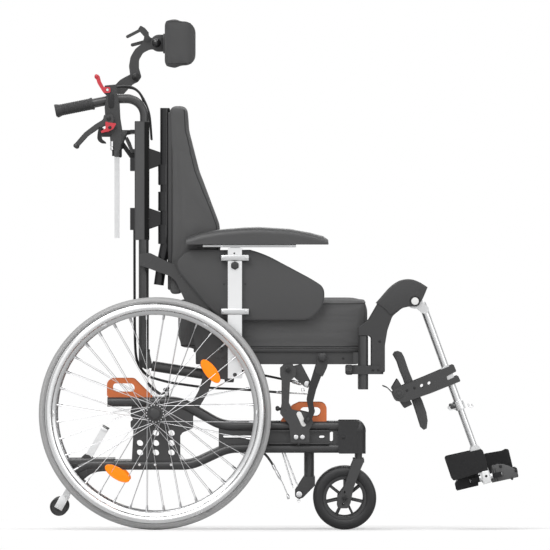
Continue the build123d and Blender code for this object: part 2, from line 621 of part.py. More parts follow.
# Back frame: two rails behind the cushion, brackets to the posts, cross members, headrest clamp.
rail_x = -298.5
with BuildPart() as back_frame:
    sweep_tube(side_path([(rail_x, 1107.5), (rail_x, 747.5), (-307.0, 703.0), (-315.5, 642.5)], back_lane),
               back_tube, 40.0)
    for low, high in [(906.0, 958.5), (837.5, 887.5), (750.5, 800.5)]:
        with BuildSketch(Plane.XY.offset(low)) as collar:
            with Locations((rail_x + back_tube / 2 - collar_radius - collar_step, -back_lane)):
                Circle(collar_radius)
        extrude(amount=high - low)
    for low, high in [(948.0, 1002.0), (790.0, 845.0)]:
        taper = 11.0
        polygon_plate([(sleeve_front, low), (sleeve_front, high), (-309.5, high - taper),
                       (-296.5, high - taper), (-296.5, low + taper), (-309.5, low + taper)],
                      back_lane - bracket_width / 2, bracket_width)
    both_sides()
    for row in [1082.5, 929.5, 771.5]:
        cross_pin((rail_x, row), 9.0, -back_lane, 2 * back_lane)
    # cross members behind the posts
    member_low = 787.0
    for low, high in [(942.5, 977.0), (member_low, 845.0)]:
        cross_box((-390.0, low), (sleeve_rear, high), -back_lane - 11.0, 2 * back_lane + 22.0)
    cross_box((-388.5, 977.0), (sleeve_rear, 998.0), -40.0, 80.0)
    cross_box((-390.0, 1040.0), (sleeve_rear, 1050.5), -back_lane, 2 * back_lane)
    # clamp of the headrest rod
    rod_x = -425.5
    polygon_plate([(-438.5, 982.0), (-438.5, 1011.0), (-420.5, 1035.0), (-412.5, 1050.5), (-383.5, 1050.5),
                   (-383.5, 1040.0), (-399.0, 1037.5),
                   (-407.0, 1019.0), (-388.5, 992.5), (-383.5, 977.0), (-391.5, 977.0), (-412.5, 1006.0),
                       (-412.5, 982.0)], -12.0, 24.0)
    with BuildSketch(Plane.XY.offset(971.5)) as rod_bore:
        with Locations((rod_x, 0)):
            Rectangle(headrest_rod_size + 2 * running_fit, headrest_rod_size + 2 * running_fit)
    extrude(amount=150.0, mode=Mode.SUBTRACT)
keep(back_frame, "back_frame")

# Back cushion: thin in the middle, with side wings that deepen towards the seat.
with BuildPart() as back_cushion:
    cushion_back = rail_x + back_tube / 2 + touch_gap
    back_bottom = 614.5
    back_top = 1118.0
    polygon_plate([(cushion_back, back_bottom), (cushion_back, back_top), (-241.0, back_top),
                   (-237.0, 1050.5), (-210.5, 945.5), (-155.0, 803.0), (-151.5, 734.5), (-170.0, 697.5),
                       (-243.5, 666.0), (-257.0, back_bottom)],
                  -cushion_half_width, 2 * cushion_half_width, [4, 12, 14, 60, 120, 40, 30, 30, 30, 8])
    # hollow between the wings
    polygon_plate([(-241.0, 1135.0), (-236.0, 1050.5), (-228.0, 866.5), (-222.5, 603.0), (-101.5, 603.0),
                   (-101.5, 1135.0)],
                  -wing_inner, 2 * wing_inner, [0, 60, 200, 0, 0, 0], Mode.SUBTRACT)
    with BuildSketch(Plane.YZ.offset(cushion_back - 1.0)) as back_profile:
        with BuildLine():
            middle = (back_bottom + back_top) / 2
            edge = cushion_half_width
            Line((-edge, back_bottom), (edge, back_bottom))
            ThreePointArc((edge, back_bottom), (edge - side_draw, middle), (edge, back_top - crown))
            ThreePointArc((edge, back_top - crown), (0, back_top), (-edge, back_top - crown))
            ThreePointArc((-edge, back_top - crown), (-edge + side_draw, middle), (-edge, back_bottom))
        make_face()
    extrude(amount=158.0, mode=Mode.INTERSECT)
keep(back_cushion, "back_cushion")

# Lever housings clamp round the handle tubes.
house_lane = back_lane - housing_depth / 2
with BuildPart() as lever_housings:
    polygon_plate([(-452.0, 1143.0), (-433.5, 1148.0), (-420.5, 1137.5), (-417.5, 1082.5),
                   (-412.5, 1050.5), (-415.0, 998.0), (-440.0, 998.0),
                   (-444.0, 1043.0), (-454.5, 1072.0), (-457.0, 1108.5)], house_lane, housing_depth, 4.0)
    polygon_plate([(-457.0, 1143.0), (-457.0, 1166.5), (-425.5, 1169.5), (-425.5, 1143.0)], house_lane,
                  housing_depth, 3.0)
    cross_pin((-449.5, 1155.0), lever_pin, house_lane + housing_depth, 6.0)
    cross_pin((-445.5, 1079.5), lever_pin, house_lane + housing_depth, 12.0)
    cross_pin((-443.0, 1056.0), lever_pin, house_lane + housing_depth, 18.0)
    both_sides()
    add(back_posts.part, mode=Mode.SUBTRACT)
keep(lever_housings, "lever_housings")

# Release levers on the housings: tilt (curved, on top), recline (trigger), brake (long, ball end).
with BuildPart() as tilt_lever:
    polygon_plate([(-460.0, 1147.0), (-441.5, 1147.0), (-441.5, 1162.5), (-460.0, 1162.5),
                   (-469.0, 1180.0), (-473.0, 1195.5), (-482.0, 1194.5), (-475.5, 1172.0)],
                  house_lane + housing_depth + touch_gap, lever_plate, [3, 5, 5, 6, 8, 3, 3, 12])
    cross_pin((-449.5, 1155.0), lever_pin + running_fit, house_lane + housing_depth, 10.0, Mode.SUBTRACT)
keep_pair(tilt_lever, "tilt_lever")

with BuildPart() as brake_lever:
    brake_lane = house_lane + housing_depth + 6.0 + touch_gap
    polygon_plate([(-458.5, 1089.0), (-436.0, 1091.5), (-432.0, 1069.0), (-452.0, 1065.0),
                   (-473.0, 1056.0), (-502.0, 1036.0), (-527.0, 1008.5),
                   (-535.0, 1014.0), (-510.0, 1043.0), (-481.0, 1065.0), (-461.0, 1077.0)],
                  brake_lane, lever_plate, [4, 5, 5, 10, 40, 40, 2, 2, 40, 40, 10])
    cross_pin((-445.5, 1079.5), lever_pin + running_fit, brake_lane, lever_plate, Mode.SUBTRACT)
    ball_lane = brake_lane + lever_plate / 2
    with BuildSketch(Plane.XZ.offset(ball_lane)) as ball:
        with BuildLine():
            ball_x, ball_z = (-532.5, 1008.5)
            CenterArc((ball_x, ball_z), lever_ball, -90, 180)
            Line((ball_x, ball_z + lever_ball), (ball_x, ball_z - lever_ball))
        make_face()
    revolve(axis=Axis((ball_x, -ball_lane, ball_z), (0, 0, 1)))
keep_pair(brake_lever, "brake_lever")

with BuildPart() as recline_trigger:
    trigger_lane = brake_lane + lever_plate + touch_gap
    polygon_plate([(-454.5, 1072.5), (-447.0, 1069.5), (-425.5, 1067.0), (-434.0, 1052.0),
                   (-446.0, 1046.5), (-464.5, 1041.5), (-467.0, 1046.5), (-454.5, 1053.5)],
                  trigger_lane, lever_plate, [2, 6, 2, 6, 6, 1, 1, 3])
    cross_pin((-443.0, 1056.0), lever_pin + running_fit, trigger_lane, lever_plate, Mode.SUBTRACT)
keep_pair(recline_trigger, "recline_trigger")

# Cables on the back: loops from the housings into the posts, and the run down behind the post.
with BuildPart() as back_cables:
    handle_cable_lane = house_lane - cable_diameter / 2 - touch_gap
    cable_run([(-430.0, 1163.0), (-396.5, 1168.0), (-370.0, 1156.0), (-354.5, 1132.5), (-342.5, 1103.5),
               (-337.5, 1074.5), (-334.5, 1024.5)], handle_cable_lane)
    cable_run([(-379.5, member_low), (-379.5, 629.0), (-378.5, 484.0), (-374.0, 442.0), (-359.5, 415.5),
               (-342.5, 401.0)], back_cable_lane)
    both_sides()
keep(back_cables, "back_cables")

# ---- recline gas springs ----
stroke_run = math.dist(spring_foot, spring_head)
recline_axis = Plane(origin=(spring_foot[0], -back_lane, spring_foot[1]), x_dir=(0, 1, 0),
                     z_dir=(spring_head[0] - spring_foot[0], 0, spring_head[1] - spring_foot[1]))
with BuildPart() as recline_cylinders:
    with BuildSketch(recline_axis.offset(14.0)) as tube:
        Circle(recline_cylinder_radius)
    extrude(amount=stroke_run - recline_stroke - 40.0)
    with BuildSketch(recline_axis.offset(14.0)) as neck:
        Circle(spring_eye / 2)
    extrude(amount=-8.0)
    cross_pin(spring_foot, 11.0, back_lane - spring_eye / 2, spring_eye)
    cross_pin(spring_foot, spring_pin + running_fit, back_lane - spring_eye / 2, spring_eye, Mode.SUBTRACT)
    with BuildSketch(recline_axis.offset(stroke_run - recline_stroke - 26.0)) as bore:
        Circle(recline_rod_radius + running_fit)
    extrude(amount=-recline_stroke - 30.0, mode=Mode.SUBTRACT)
    both_sides()
keep(recline_cylinders, "recline_spring_cylinders")

with BuildPart() as recline_rods:
    with BuildSketch(recline_axis.offset(stroke_run - recline_stroke - 46.0)) as rod:
        Circle(recline_rod_radius)
    extrude(amount=recline_stroke + 42.0)
    cross_pin(spring_head, 9.0, back_lane - spring_eye / 2, spring_eye)
    both_sides()
keep(recline_rods, "recline_spring_rods")

# ---- rear wheels ----

def ring_profile(points, lane, centre):
    """Revolves a closed outline, given as (radius, offset from the lane), about a wheel axis."""
    centre_x, centre_z = centre
    with BuildSketch(Plane(origin=(centre_x, -lane, centre_z), x_dir=(1, 0, 0),
                           z_dir=(0, 0, 1))) as outline:
        with BuildLine():
            Polyline(*points, close=True)
        make_face()
    revolve(outline.sketch, axis=Axis((centre_x, -lane, centre_z), (0, 1, 0)))


with BuildPart() as tyre:
    outer = wheel_diameter / 2
    inner = outer - tyre_height
    half = tyre_width / 2
    ring_profile([(inner, 0.45 * half), (inner + 6.0, half), (outer - 6.0, half), (outer, 0.35 * half),
                  (outer, -0.35 * half), (outer - 6.0, -half), (inner + 6.0, -half), (inner, -0.45 * half)],
                 tyre_lane, (wheel_x, wheel_z))
keep_pair(tyre, "rear_tyre")

with BuildPart() as rear_wheel:
    rim_outer = inner - 0.05
    rim_inner = inner - rim_height
    half = rim_width / 2
    ring_profile([(rim_outer, half), (rim_outer - 6.0, half), (rim_inner, 0.35 * half),
                  (rim_inner, -0.35 * half),
                  (rim_outer - 6.0, -half), (rim_outer, -half)], tyre_lane, (wheel_x, wheel_z))
    for flange in (-1, 1):
        cross_pin((wheel_x, wheel_z), hub_radius, tyre_lane + flange * hub_width / 2 - 2.0, 4.0)
    cross_pin((wheel_x, wheel_z), 15.0, tyre_lane - hub_width / 2 - 2.0, hub_width + 4.0)
    for index in range(spoke_count):
        turn = 360.0 / spoke_count
        flange_lane = tyre_lane + (hub_width / 2 if index % 2 else -hub_width / 2)
        start_angle = math.radians(index * turn + (spoke_cross if index % 4 < 2 else -spoke_cross))
        end_angle = math.radians(index * turn)
        start = (wheel_x + (hub_radius - 4.0) * math.cos(start_angle), -flange_lane,
                 wheel_z + (hub_radius - 4.0) * math.sin(start_angle))
        end = (wheel_x + (rim_inner + 2.0) * math.cos(end_angle), -tyre_lane,
               wheel_z + (rim_inner + 2.0) * math.sin(end_angle))
        sweep_tube([start, end], 2 * spoke_radius)
    cross_pin((wheel_x, wheel_z), axle_radius, receiver_lane, tyre_lane - receiver_lane)
    cross_pin((wheel_x, wheel_z), 10.0, tyre_lane + hub_width / 2, 9.0)
    # pushrim with its stand-off tabs
    with BuildSketch(Plane(origin=(wheel_x, -pushrim_lane, wheel_z), x_dir=(1, 0, 0),
                           z_dir=(0, 0, 1))) as section:
        with Locations((pushrim_radius, 0)):
            RegularPolygon(pushrim_tube / 2, pushrim_sides)
    revolve(axis=Axis((wheel_x, -pushrim_lane, wheel_z), (0, 1, 0)))
    for index in range(pushrim_tabs):
        angle = math.radians(360.0 * (index + 0.5) / pushrim_tabs)
        reach = [(wheel_x + radius * math.cos(angle), -lane, wheel_z + radius * math.sin(angle))
                 for radius, lane in [(rim_inner + 12.0, tyre_lane + 4.0),
                                      (pushrim_radius - 3.0, pushrim_lane - 3.0)]]
        sweep_tube(reach, 8.0)
keep_pair(rear_wheel, "rear_wheel")

# ---- casters ----
with BuildPart() as caster_fork:
    with BuildSketch(Plane.XY.offset(barrel_low - stem_drop)) as stem:
        with Locations((stem_x, -frame_lane)):
            Circle(stem_radius)
    extrude(amount=stem_drop + stem_length - 4.0)
    crown_low = 176.0
    crown_high = 186.5
    with BuildSketch(Plane.XY.offset(crown_low)) as crown:
        with Locations((stem_x, -frame_lane)):
            RectangleRounded(29.0, caster_width + 2 * fork_gap + 2 * fork_thickness, 6.0)
    extrude(amount=crown_high - crown_low)
    for lane in (frame_lane - caster_width / 2 - fork_gap - fork_thickness,
                 frame_lane + caster_width / 2 + fork_gap):
        polygon_plate([(196.5, 181.0), (225.5, 181.0), (212.0, 149.5), (196.5, 107.5), (189.5, 70.5),
                       (182.0, 56.0),
                       (154.0, 56.0), (155.5, 89.0), (171.5, 110.0), (186.0, 155.0)],
                      lane, fork_thickness, [0, 0, 30, 30, 20, 6, 6, 8, 12, 30])
        cross_pin((170.0, 67.0), 3.5, lane, fork_thickness, Mode.SUBTRACT)
        cross_pin((172.5, 98.5), 3.5, lane, fork_thickness, Mode.SUBTRACT)
    cross_pin((caster_x, caster_z), caster_axle_radius, frame_lane - caster_width / 2 - fork_gap - 6.0,
              caster_width + 2 * fork_gap + 12.0)
    cross_pin((caster_x, caster_z), 8.0, frame_lane + caster_width / 2 + fork_gap + fork_thickness, 5.0)
    cross_pin((caster_x, caster_z), 8.0, frame_lane - caster_width / 2 - fork_gap - fork_thickness - 5.0,
              5.0)
keep_pair(caster_fork, "caster_fork")

with BuildPart() as caster_wheel:
    outer = caster_diameter / 2
    half = caster_width / 2
    ring_profile([(caster_rim, -0.7 * half), (caster_rim, 0.7 * half), (outer - 18.0, half),
                  (outer - 6.0, 0.9 * half),
                  (outer, 0.4 * half), (outer, -0.4 * half), (outer - 6.0, -0.9 * half),
                      (outer - 18.0, -half)],
                 frame_lane, (caster_x, caster_z))
    cross_pin((caster_x, caster_z), 13.0, frame_lane - half - 2.5, caster_width + 5.0)
    for index in range(caster_spokes):
        angle = math.radians(90.0 + 360.0 * index / caster_spokes)
        tip = (caster_x + (caster_rim + 2.0) * math.cos(angle),
               caster_z + (caster_rim + 2.0) * math.sin(angle))
        cross_slot((caster_x, caster_z), tip, 6.0, frame_lane - 7.0, 14.0)
    cross_pin((caster_x, caster_z), caster_axle_radius + running_fit, frame_lane - half - 3.0,
              caster_width + 6.0, Mode.SUBTRACT)
keep_pair(caster_wheel, "caster_wheel")

# ---- anti-tip supports ----
# Each is a bar that slides in a clamp inside the lower frame tube and carries a small wheel.
with BuildPart() as antitip_bar:
    cross_slot((-460.0, 259.0), (-570.5, 69.0), 17.0, antitip_lane - 6.0, 12.0)
    cross_pin(antitip_axis, antitip_axle, antitip_lane - 6.0,
              6.0 + antitip_wheel_gap + antitip_wheel_width + 4.0)
    cross_slot((-570.5, 69.0), antitip_axis, 17.0, antitip_lane - 6.0, 12.0)
keep_pair(antitip_bar, "antitip_bar")

with BuildPart() as antitip_wheel:
    half = antitip_wheel_width / 2
    middle_lane = antitip_lane + 6.0 + antitip_wheel_gap + half
    ring_profile([(antitip_axle + running_fit, -half), (antitip_axle + running_fit, half),
                  (antitip_wheel_radius - 4.0, half), (antitip_wheel_radius, 0.5 * half),
                  (antitip_wheel_radius, -0.5 * half), (antitip_wheel_radius - 4.0, -half)],
                 middle_lane, antitip_axis)
keep_pair(antitip_wheel, "antitip_wheel")

# ---- wheel locks ----
with BuildPart() as parking_lever:
    polygon_plate([(104.0, 452.5), (112.0, 465.5), (125.0, 463.0), (128.0, 439.5), (112.0, 402.5),
                   (99.0, 368.0), (90.5, 334.0),
                   (96.0, 310.5), (88.5, 292.0), (72.5, 274.5), (64.5, 286.5), (80.5, 307.5),
                       (74.0, 339.5), (80.5, 373.5)],
                  lever_lane, 6.0, [6, 8, 6, 12, 40, 40, 20, 10, 10, 4, 4, 8, 20, 40])
    cross_pin((114.5, 452.5), 11.0, lever_lane + 6.0, 8.0)
    cross_pin(parking_pivot, lever_pin + running_fit, lever_lane, 6.0, Mode.SUBTRACT)
keep_pair(parking_lever, "parking_lever")

# ---- headrest ----
# A square rod slides in the back frame's clamp; its top carries the lower joint of the arm.
headrest_low = (-375.5, 1190.5)
headrest_high = (-321.5, 1280.0)
clamp_pivot = (-346.5, 1293.0)
clamp_boss = 8.0
clamp_depth = 10.0
hand_screw = 10.5
cheek_plate = 4.0
with BuildPart() as headrest_rod:
    with BuildSketch(Plane.XY.offset(766.0)) as rod:
        with Locations((rod_x, 0)):
            Rectangle(headrest_rod_size, headrest_rod_size)
    extrude(amount=1164.0 - 766.0)
    polygon_plate([(-432.5, 1140.5), (-432.5, 1166.5), (-417.5, 1182.5), (-391.5, 1197.0),
                   (-370.0, 1201.0), (-362.5, 1190.5), (-370.0, 1177.0),
                   (-383.5, 1172.0), (-412.5, 1140.5)], -joint_tongue / 2, joint_tongue,
                       [2, 6, 12, 10, 8, 8, 8, 10, 3])
    cross_pin(headrest_low, joint_pin, -joint_width / 2 - 4.0, joint_width + 8.0)
keep(headrest_rod, "headrest_rod")

with BuildPart() as headrest_arm:
    polygon_plate([(-388.5, 1180.0), (-391.5, 1198.5), (-394.0, 1219.5), (-390.0, 1243.0),
                   (-378.0, 1264.0), (-359.5, 1278.5), (-352.0, 1298.5), (-341.0, 1298.5),
                   (-336.0, 1293.0), (-312.0, 1296.0), (-307.0, 1280.0), (-317.5, 1261.5),
                       (-338.5, 1263.0), (-357.0, 1253.5), (-367.5, 1235.0), (-367.5, 1214.0),
                   (-361.0, 1190.5), (-370.0, 1177.0)],
                  -joint_width / 2, joint_width, [10, 20, 30, 30, 30, 20, 4, 4, 6, 6, 12, 12, 20, 20, 20,
                                                  20, 8, 8])
    for centre, reach in [(headrest_low, 24.0), (headrest_high, 26.0)]:
        cross_pin(centre, reach, -joint_tongue / 2 - touch_gap, joint_tongue + 2 * touch_gap, Mode.SUBTRACT)
    cross_pin(headrest_low, joint_pin + running_fit, -joint_width, 2 * joint_width, Mode.SUBTRACT)
    cross_pin(headrest_high, joint_pin, -joint_width / 2, joint_width)
    cross_pin(headrest_high, hand_screw, joint_width / 2, 14.0)
    cross_pin(clamp_pivot, joint_pin, -joint_width / 2 - 13.0, joint_width + 26.0)
keep(headrest_arm, "headrest_arm")

# Clamp levers of the arm's upper joint: a cranked handle on one side, a straight one on the other.
with BuildPart() as headrest_lever:
    lever_lane = joint_width / 2 + touch_gap
    cross_pin(clamp_pivot, clamp_boss, lever_lane, clamp_depth)
    polygon_plate([(-370.0, 1316.5), (-363.5, 1326.0), (-352.0, 1319.5), (-342.0, 1308.0),
                   (-341.0, 1297.0), (-352.5, 1295.0), (-363.5, 1307.5)],
                  lever_lane, clamp_depth, [3, 3, 5, 3, 3, 2, 3])
    cross_slot((-366.5, 1312.5), (-397.5, 1296.5), 8.4, lever_lane + 1.0, clamp_depth - 2.0)
    cross_pin(clamp_pivot, clamp_boss, -lever_lane - clamp_depth, clamp_depth)
    cross_slot((-351.0, 1284.0), (-385.0, 1275.0), 9.0, -lever_lane - clamp_depth, clamp_depth - 1.0)
    cross_pin(clamp_pivot, joint_pin + running_fit, -2 * joint_width, 4 * joint_width, Mode.SUBTRACT)
keep(headrest_lever, "headrest_lever")

# Headrest pad with its backing bracket.
with BuildPart() as headrest_pad:
    with BuildSketch(Plane.XZ.offset(-headrest_half_width)) as pad_side:
        with BuildLine():
            FilletPolyline((-298.5, 1216.5), (-298.5, 1340.5), (-268.0, 1340.5), (-259.0, 1335.5),
                           (-219.5, 1334.5), (-219.5, 1223.5), (-258.0, 1222.0), (-273.0, 1215.5),
                           radius=[5, 5, 6, 6, 24, 22, 6, 8], close=True)
        make_face()
    extrude(amount=2 * headrest_half_width)
    with BuildSketch(Plane.XY.offset(1213.0)) as pad_plan:
        with BuildLine():
            half = headrest_half_width
            front = -218.5
            rear = -307.0
            Line((rear, -half), (rear, half))
            ThreePointArc((rear, half), (front - 14.0, half - 6.0), (front, half - 40.0))
            ThreePointArc((front, half - 40.0), (front - 10.0, 0), (front, -half + 40.0))
            ThreePointArc((front, -half + 40.0), (front - 14.0, -half + 6.0), (rear, -half))
        make_face()
    extrude(amount=131.5, mode=Mode.INTERSECT)
    polygon_plate([(-333.5, 1269.5), (-334.5, 1282.5), (-325.5, 1292.0), (-298.5, 1301.0),
                   (-298.5, 1256.0), (-320.0, 1267.0)],
                  -joint_tongue / 2, joint_tongue, [6, 8, 6, 0, 0, 6])
    cross_pin(headrest_high, joint_pin + running_fit, -joint_tongue, 2 * joint_tongue, Mode.SUBTRACT)
    # round-ended cheeks on both sides of the joint, free of its hand screw
    for cheek_lane in (joint_width / 2 + touch_gap, -joint_width / 2 - touch_gap - cheek_plate):
        polygon_plate([(-337.5, 1257.0), (-337.5, 1302.0), (-298.5, 1302.0), (-298.5, 1257.0)],
                      cheek_lane, cheek_plate, [22, 22, 0, 0])
        cross_pin(headrest_high, hand_screw + running_fit, cheek_lane, cheek_plate, Mode.SUBTRACT)
    cross_box((-304.0, 1253.5), (-298.5, 1303.5), -38.0, 76.0)
keep(headrest_pad, "headrest_pad")

# ---- leg rests ----
# The hanger drops on the seat frame's post, clamps round it and curves up to the knee.
hanger_inner = hanger_lane - hanger_width / 2
with BuildPart() as hanger:
    polygon_plate([(208.5, 508.5), (209.5, 531.5), (236.0, 550.0), (262.0, 595.0), (286.0, 626.5),
                   (315.0, 651.5), (336.0, 658.0),
                   (373.0, 649.0), (391.5, 635.5), (382.0, 616.0), (373.0, 600.0), (352.0, 588.5),
                       (328.0, 584.5), (299.0, 560.5),
                   (286.0, 523.5), (279.5, 484.0), (279.5, 413.0), (243.5, 413.0), (243.5, 502.5),
                       (237.0, 508.5)],
                  hanger_inner, hanger_width,
                  [2, 6, 14, 40, 30, 20, 12, 14, 6, 8, 8, 10, 16, 24, 30, 20, 4, 4, 3, 3])
    chamfer(hanger.faces().sort_by(Axis.Y)[0].edges(), 2.0)
    cross_pin(knee_pivot, 18.5, hanger_inner + hanger_width - 3.0, 4.0, Mode.SUBTRACT)
    cross_pin(knee_pivot, knee_pin + running_fit, hanger_inner, hanger_width, Mode.SUBTRACT)
    with BuildSketch(Plane.XY.offset(508.5)) as drop_pin:
        with Locations((hang_x, -hanger_lane)):
            Circle(hanger_pin_radius)
    extrude(amount=-hanger_pin_length)
    with BuildSketch(Plane.XY.offset(408.0)) as clamp:
        with Locations((hang_x + 10.5, -hanger_lane)):
            SlotOverall(84.5, 33.0)
        with Locations((hang_x, -hanger_lane)):
            Circle(hanger_post_radius + touch_gap, mode=Mode.SUBTRACT)
    extrude(amount=22.5)
    # hand knob of the clamp
    with BuildSketch(Plane.YZ.offset(176.5)) as knob:
        with Locations((-hanger_lane, 419.0)):
            Circle(10.5)
    extrude(amount=16.0)
keep_pair(hanger, "leg_hanger")

leg_plane = Plane(origin=(leg_top[0], -leg_lane, leg_top[1]), x_dir=(0, 1, 0),
                  z_dir=(leg_bottom[0] - leg_top[0], 0, leg_bottom[1] - leg_top[1]))
leg_run = math.dist(leg_top, leg_bottom)
leg_slope = (leg_plane.z_dir.X, leg_plane.z_dir.Z)


def along_leg(distance, aside=0.0):
    """A point of the side plane on the leg tube, or beside it towards the front."""
    return (leg_top[0] + distance * leg_slope[0] - aside * leg_slope[1],
            leg_top[1] + distance * leg_slope[1] + aside * leg_slope[0])


with BuildPart() as leg:
    with BuildSketch(leg_plane) as tube:
        Circle(leg_tube / 2)
    extrude(amount=leg_run)
    knee_block_lane = leg_lane - leg_tube / 2 - 1.0
    knee_block = hanger_inner - touch_gap - knee_block_lane
    cross_pin(knee_pivot, 20.0, knee_block_lane, knee_block)
    cross_slot(knee_pivot, along_leg(18.0), 22.0, knee_block_lane, knee_block)
    cross_pin(knee_pivot, knee_pin, leg_lane, hanger_inner + hanger_width - leg_lane)
    cross_pin(knee_pivot, 10.5, hanger_inner + hanger_width - 3.0 + touch_gap, 5.0)
    # clamp of the telescopic part
    with BuildSketch(leg_plane.offset(leg_run - 20.0)) as collar:
        Circle(leg_tube / 2 + 4.0)
    extrude(amount=22.0)
    cross_slot(along_leg(leg_run - 9.0), along_leg(leg_run - 9.0, -24.0), 12.0, leg_lane - 6.0, 12.0)
    # clamp band of the calf arm
    arm_outer = leg_lane + leg_tube / 2 + 1.0
    cross_slot(along_leg(187.0), along_leg(208.0), leg_tube + 6.0, leg_lane - leg_tube / 2 - 2.0,
               leg_tube + 3.0)
    with BuildSketch(leg_plane.offset(leg_run + 2.0)) as bore:
        Circle(lower_leg_tube / 2 + running_fit)
    extrude(amount=-telescope_depth, mode=Mode.SUBTRACT)
keep_pair(leg, "leg_tube")

# Arm of the calf pad: a plate with a forked end on the clamp band, and the pivot pin of the pad.
with BuildPart() as calf_arm:
    polygon_plate([(298.0, 357.5), (304.5, 369.5), (386.0, 402.5), (460.0, 434.0), (467.5, 415.5),
                   (441.5, 402.5), (444.0, 392.0),
                   (471.5, 405.0), (478.5, 389.5), (399.0, 357.5), (330.5, 334.0), (307.0, 338.0)],
                  arm_outer, calf_arm_thickness, [8, 10, 60, 3, 3, 2, 2, 3, 3, 60, 12, 8])
    for hole in [(377.0, 377.5), (396.5, 384.0)]:
        cross_pin(hole, 5.0, arm_outer, calf_arm_thickness, Mode.SUBTRACT)
    cross_pin(calf_pivot, calf_pin, arm_outer - 30.0, 30.0 + calf_arm_thickness)
keep_pair(calf_arm, "calf_arm")

# The calf rest turns on the end of its arm: a bracket and a curved pad.
with BuildPart() as calf_rest:
    cross_pin(calf_pivot, 11.0, arm_outer - 12.0 - touch_gap, 12.0)
    polygon_plate([(296.5, 371.0), (312.0, 397.0), (328.0, 371.0), (352.0, 328.5), (330.5, 318.0),
                   (320.0, 334.0)], arm_outer - 12.0 - touch_gap,
                  6.0, 3.0)
    cross_pin(calf_pivot, calf_pin + running_fit, arm_outer - 20.0, 20.0, Mode.SUBTRACT)
    polygon_plate([(299.0, 463.0), (311.0, 471.0), (323.0, 460.5), (344.0, 418.5), (370.0, 347.0),
                   (390.0, 289.0), (391.5, 270.5),
                   (378.0, 259.0), (365.0, 289.0), (352.0, 326.0), (323.0, 400.0)],
                  calf_pad_inner, arm_outer - 12.5 - calf_pad_inner,
                      [5, 6, 10, 60, 80, 12, 8, 6, 20, 40, 60])
keep_pair(calf_rest, "calf_rest")

# The footplate's own directions: along its hinge and above it.
plate_angle = math.radians(footplate_tilt)
plate_along = (math.cos(plate_angle), math.sin(plate_angle))
plate_corner = 4.0
plate_half = footplate_thickness / 2
plate_front = plate_corner + (overall_length / 2 - footplate_hinge[0] - plate_corner
                              - (plate_half - plate_corner) * plate_along[1]) / plate_along[0]


def on_plate(along, above):
    """A point of the side plane, measured from the footplate's hinge along and above the plate."""
    return (footplate_hinge[0] + along * plate_along[0] - above * plate_along[1],
            footplate_hinge[1] + along * plate_along[1] + above * plate_along[0])


hinge_line = Plane(origin=(footplate_hinge[0], -footplate_hinge_lane, footplate_hinge[1]), x_dir=(0, 1, 0),
                   z_dir=(plate_along[0], 0, plate_along[1]))
knuckle_half = 18.0
plate_knuckle = 24.0

# Lower leg: the inner tube of the telescope, its foot clamp and the fixed heel guard.
with BuildPart() as lower_leg:
    with BuildSketch(leg_plane.offset(leg_run + 2.0 - telescope_engaged)) as tube:
        Circle(lower_leg_tube / 2)
    extrude(amount=telescope_engaged + lower_leg_length)
    cross_slot(along_leg(leg_run + lower_leg_length - 12.0), footplate_hinge, 26.0, leg_lane - 9.0, 18.0)
    cross_pin(footplate_hinge, 9.0, footplate_hinge_lane + 8.0, leg_lane - footplate_hinge_lane - 8.0)
    polygon_plate([(438.5, 189.0), (535.0, 211.5), (549.5, 155.0), (531.0, 152.0), (458.5, 130.5)],
                  leg_lane + 9.0, heel_guard, [6, 6, 2, 2, 6])
    # middle knuckle of the footplate's hinge, its web and the pin through it
    with BuildSketch(hinge_line.offset(touch_gap - knuckle_half)) as knuckle:
        Circle(6.5)
    extrude(amount=2 * (knuckle_half - touch_gap))
    polygon_plate([on_plate(-9.0, -5.0), on_plate(-9.0, 4.0), on_plate(9.0, 4.0), on_plate(9.0, -5.0)],
                  footplate_hinge_lane, 10.0)
    with BuildSketch(hinge_line.offset(-knuckle_half - plate_knuckle - 1.0)) as pin:
        Circle(hinge_pin_radius)
    extrude(amount=2 * (knuckle_half + plate_knuckle + 1.0))
keep_pair(lower_leg, "lower_leg")

# Footplate: a moulded tray that flips up about a hinge along its outer edge.

with BuildPart() as footplate:
    polygon_plate([on_plate(-plate_rear, -plate_half), on_plate(-plate_rear, plate_half),
                   on_plate(plate_front, plate_half), on_plate(plate_front, -plate_half)],
                  plate_inner_lane, footplate_hinge_lane - 8.0 - plate_inner_lane, plate_corner)
    polygon_plate([on_plate(-plate_rear + 5.0, 3.0), on_plate(-plate_rear + 5.0, 12.0),
                   on_plate(plate_front - 5.0, 12.0),
                   on_plate(plate_front - 5.0, 3.0)], plate_inner_lane + 5.0,
                  footplate_hinge_lane - 18.0 - plate_inner_lane, mode=Mode.SUBTRACT)
    for low in (-knuckle_half - plate_knuckle, knuckle_half):
        high = low + plate_knuckle
        polygon_plate([on_plate(low, -6.0), on_plate(low, 6.0), on_plate(high, 6.0), on_plate(high, -6.0)],
                      footplate_hinge_lane - 9.0, 15.0)
    # low outer wall and high inner wall of the tray
    polygon_plate([(563.0, 168.0), (583.5, 173.5), (615.0, 160.5), (625.5, 151.0), (625.5, 143.0),
                   (563.0, 128.5)], footplate_hinge_lane - 8.0 - tray_wall, tray_wall,
                  [3, 12, 8, 3, 2, 2])
    polygon_plate([(541.5, 198.0), (588.5, 206.0), (597.0, 210.5), (606.0, 210.0), (618.0, 160.0),
                   (618.0, 146.0), (552.0, 132.0)], plate_inner_lane, tray_wall, [3, 6, 4, 5, 2, 2, 2])
    with BuildSketch(hinge_line.offset(-plate_rear)) as pin_bore:
        Circle(hinge_pin_radius + running_fit)
    extrude(amount=2 * plate_rear, mode=Mode.SUBTRACT)
keep_pair(footplate, "footplate")
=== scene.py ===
import json
import math

import bmesh
import bpy
from mathutils import Matrix, Vector
from mathutils.bvhtree import BVHTree

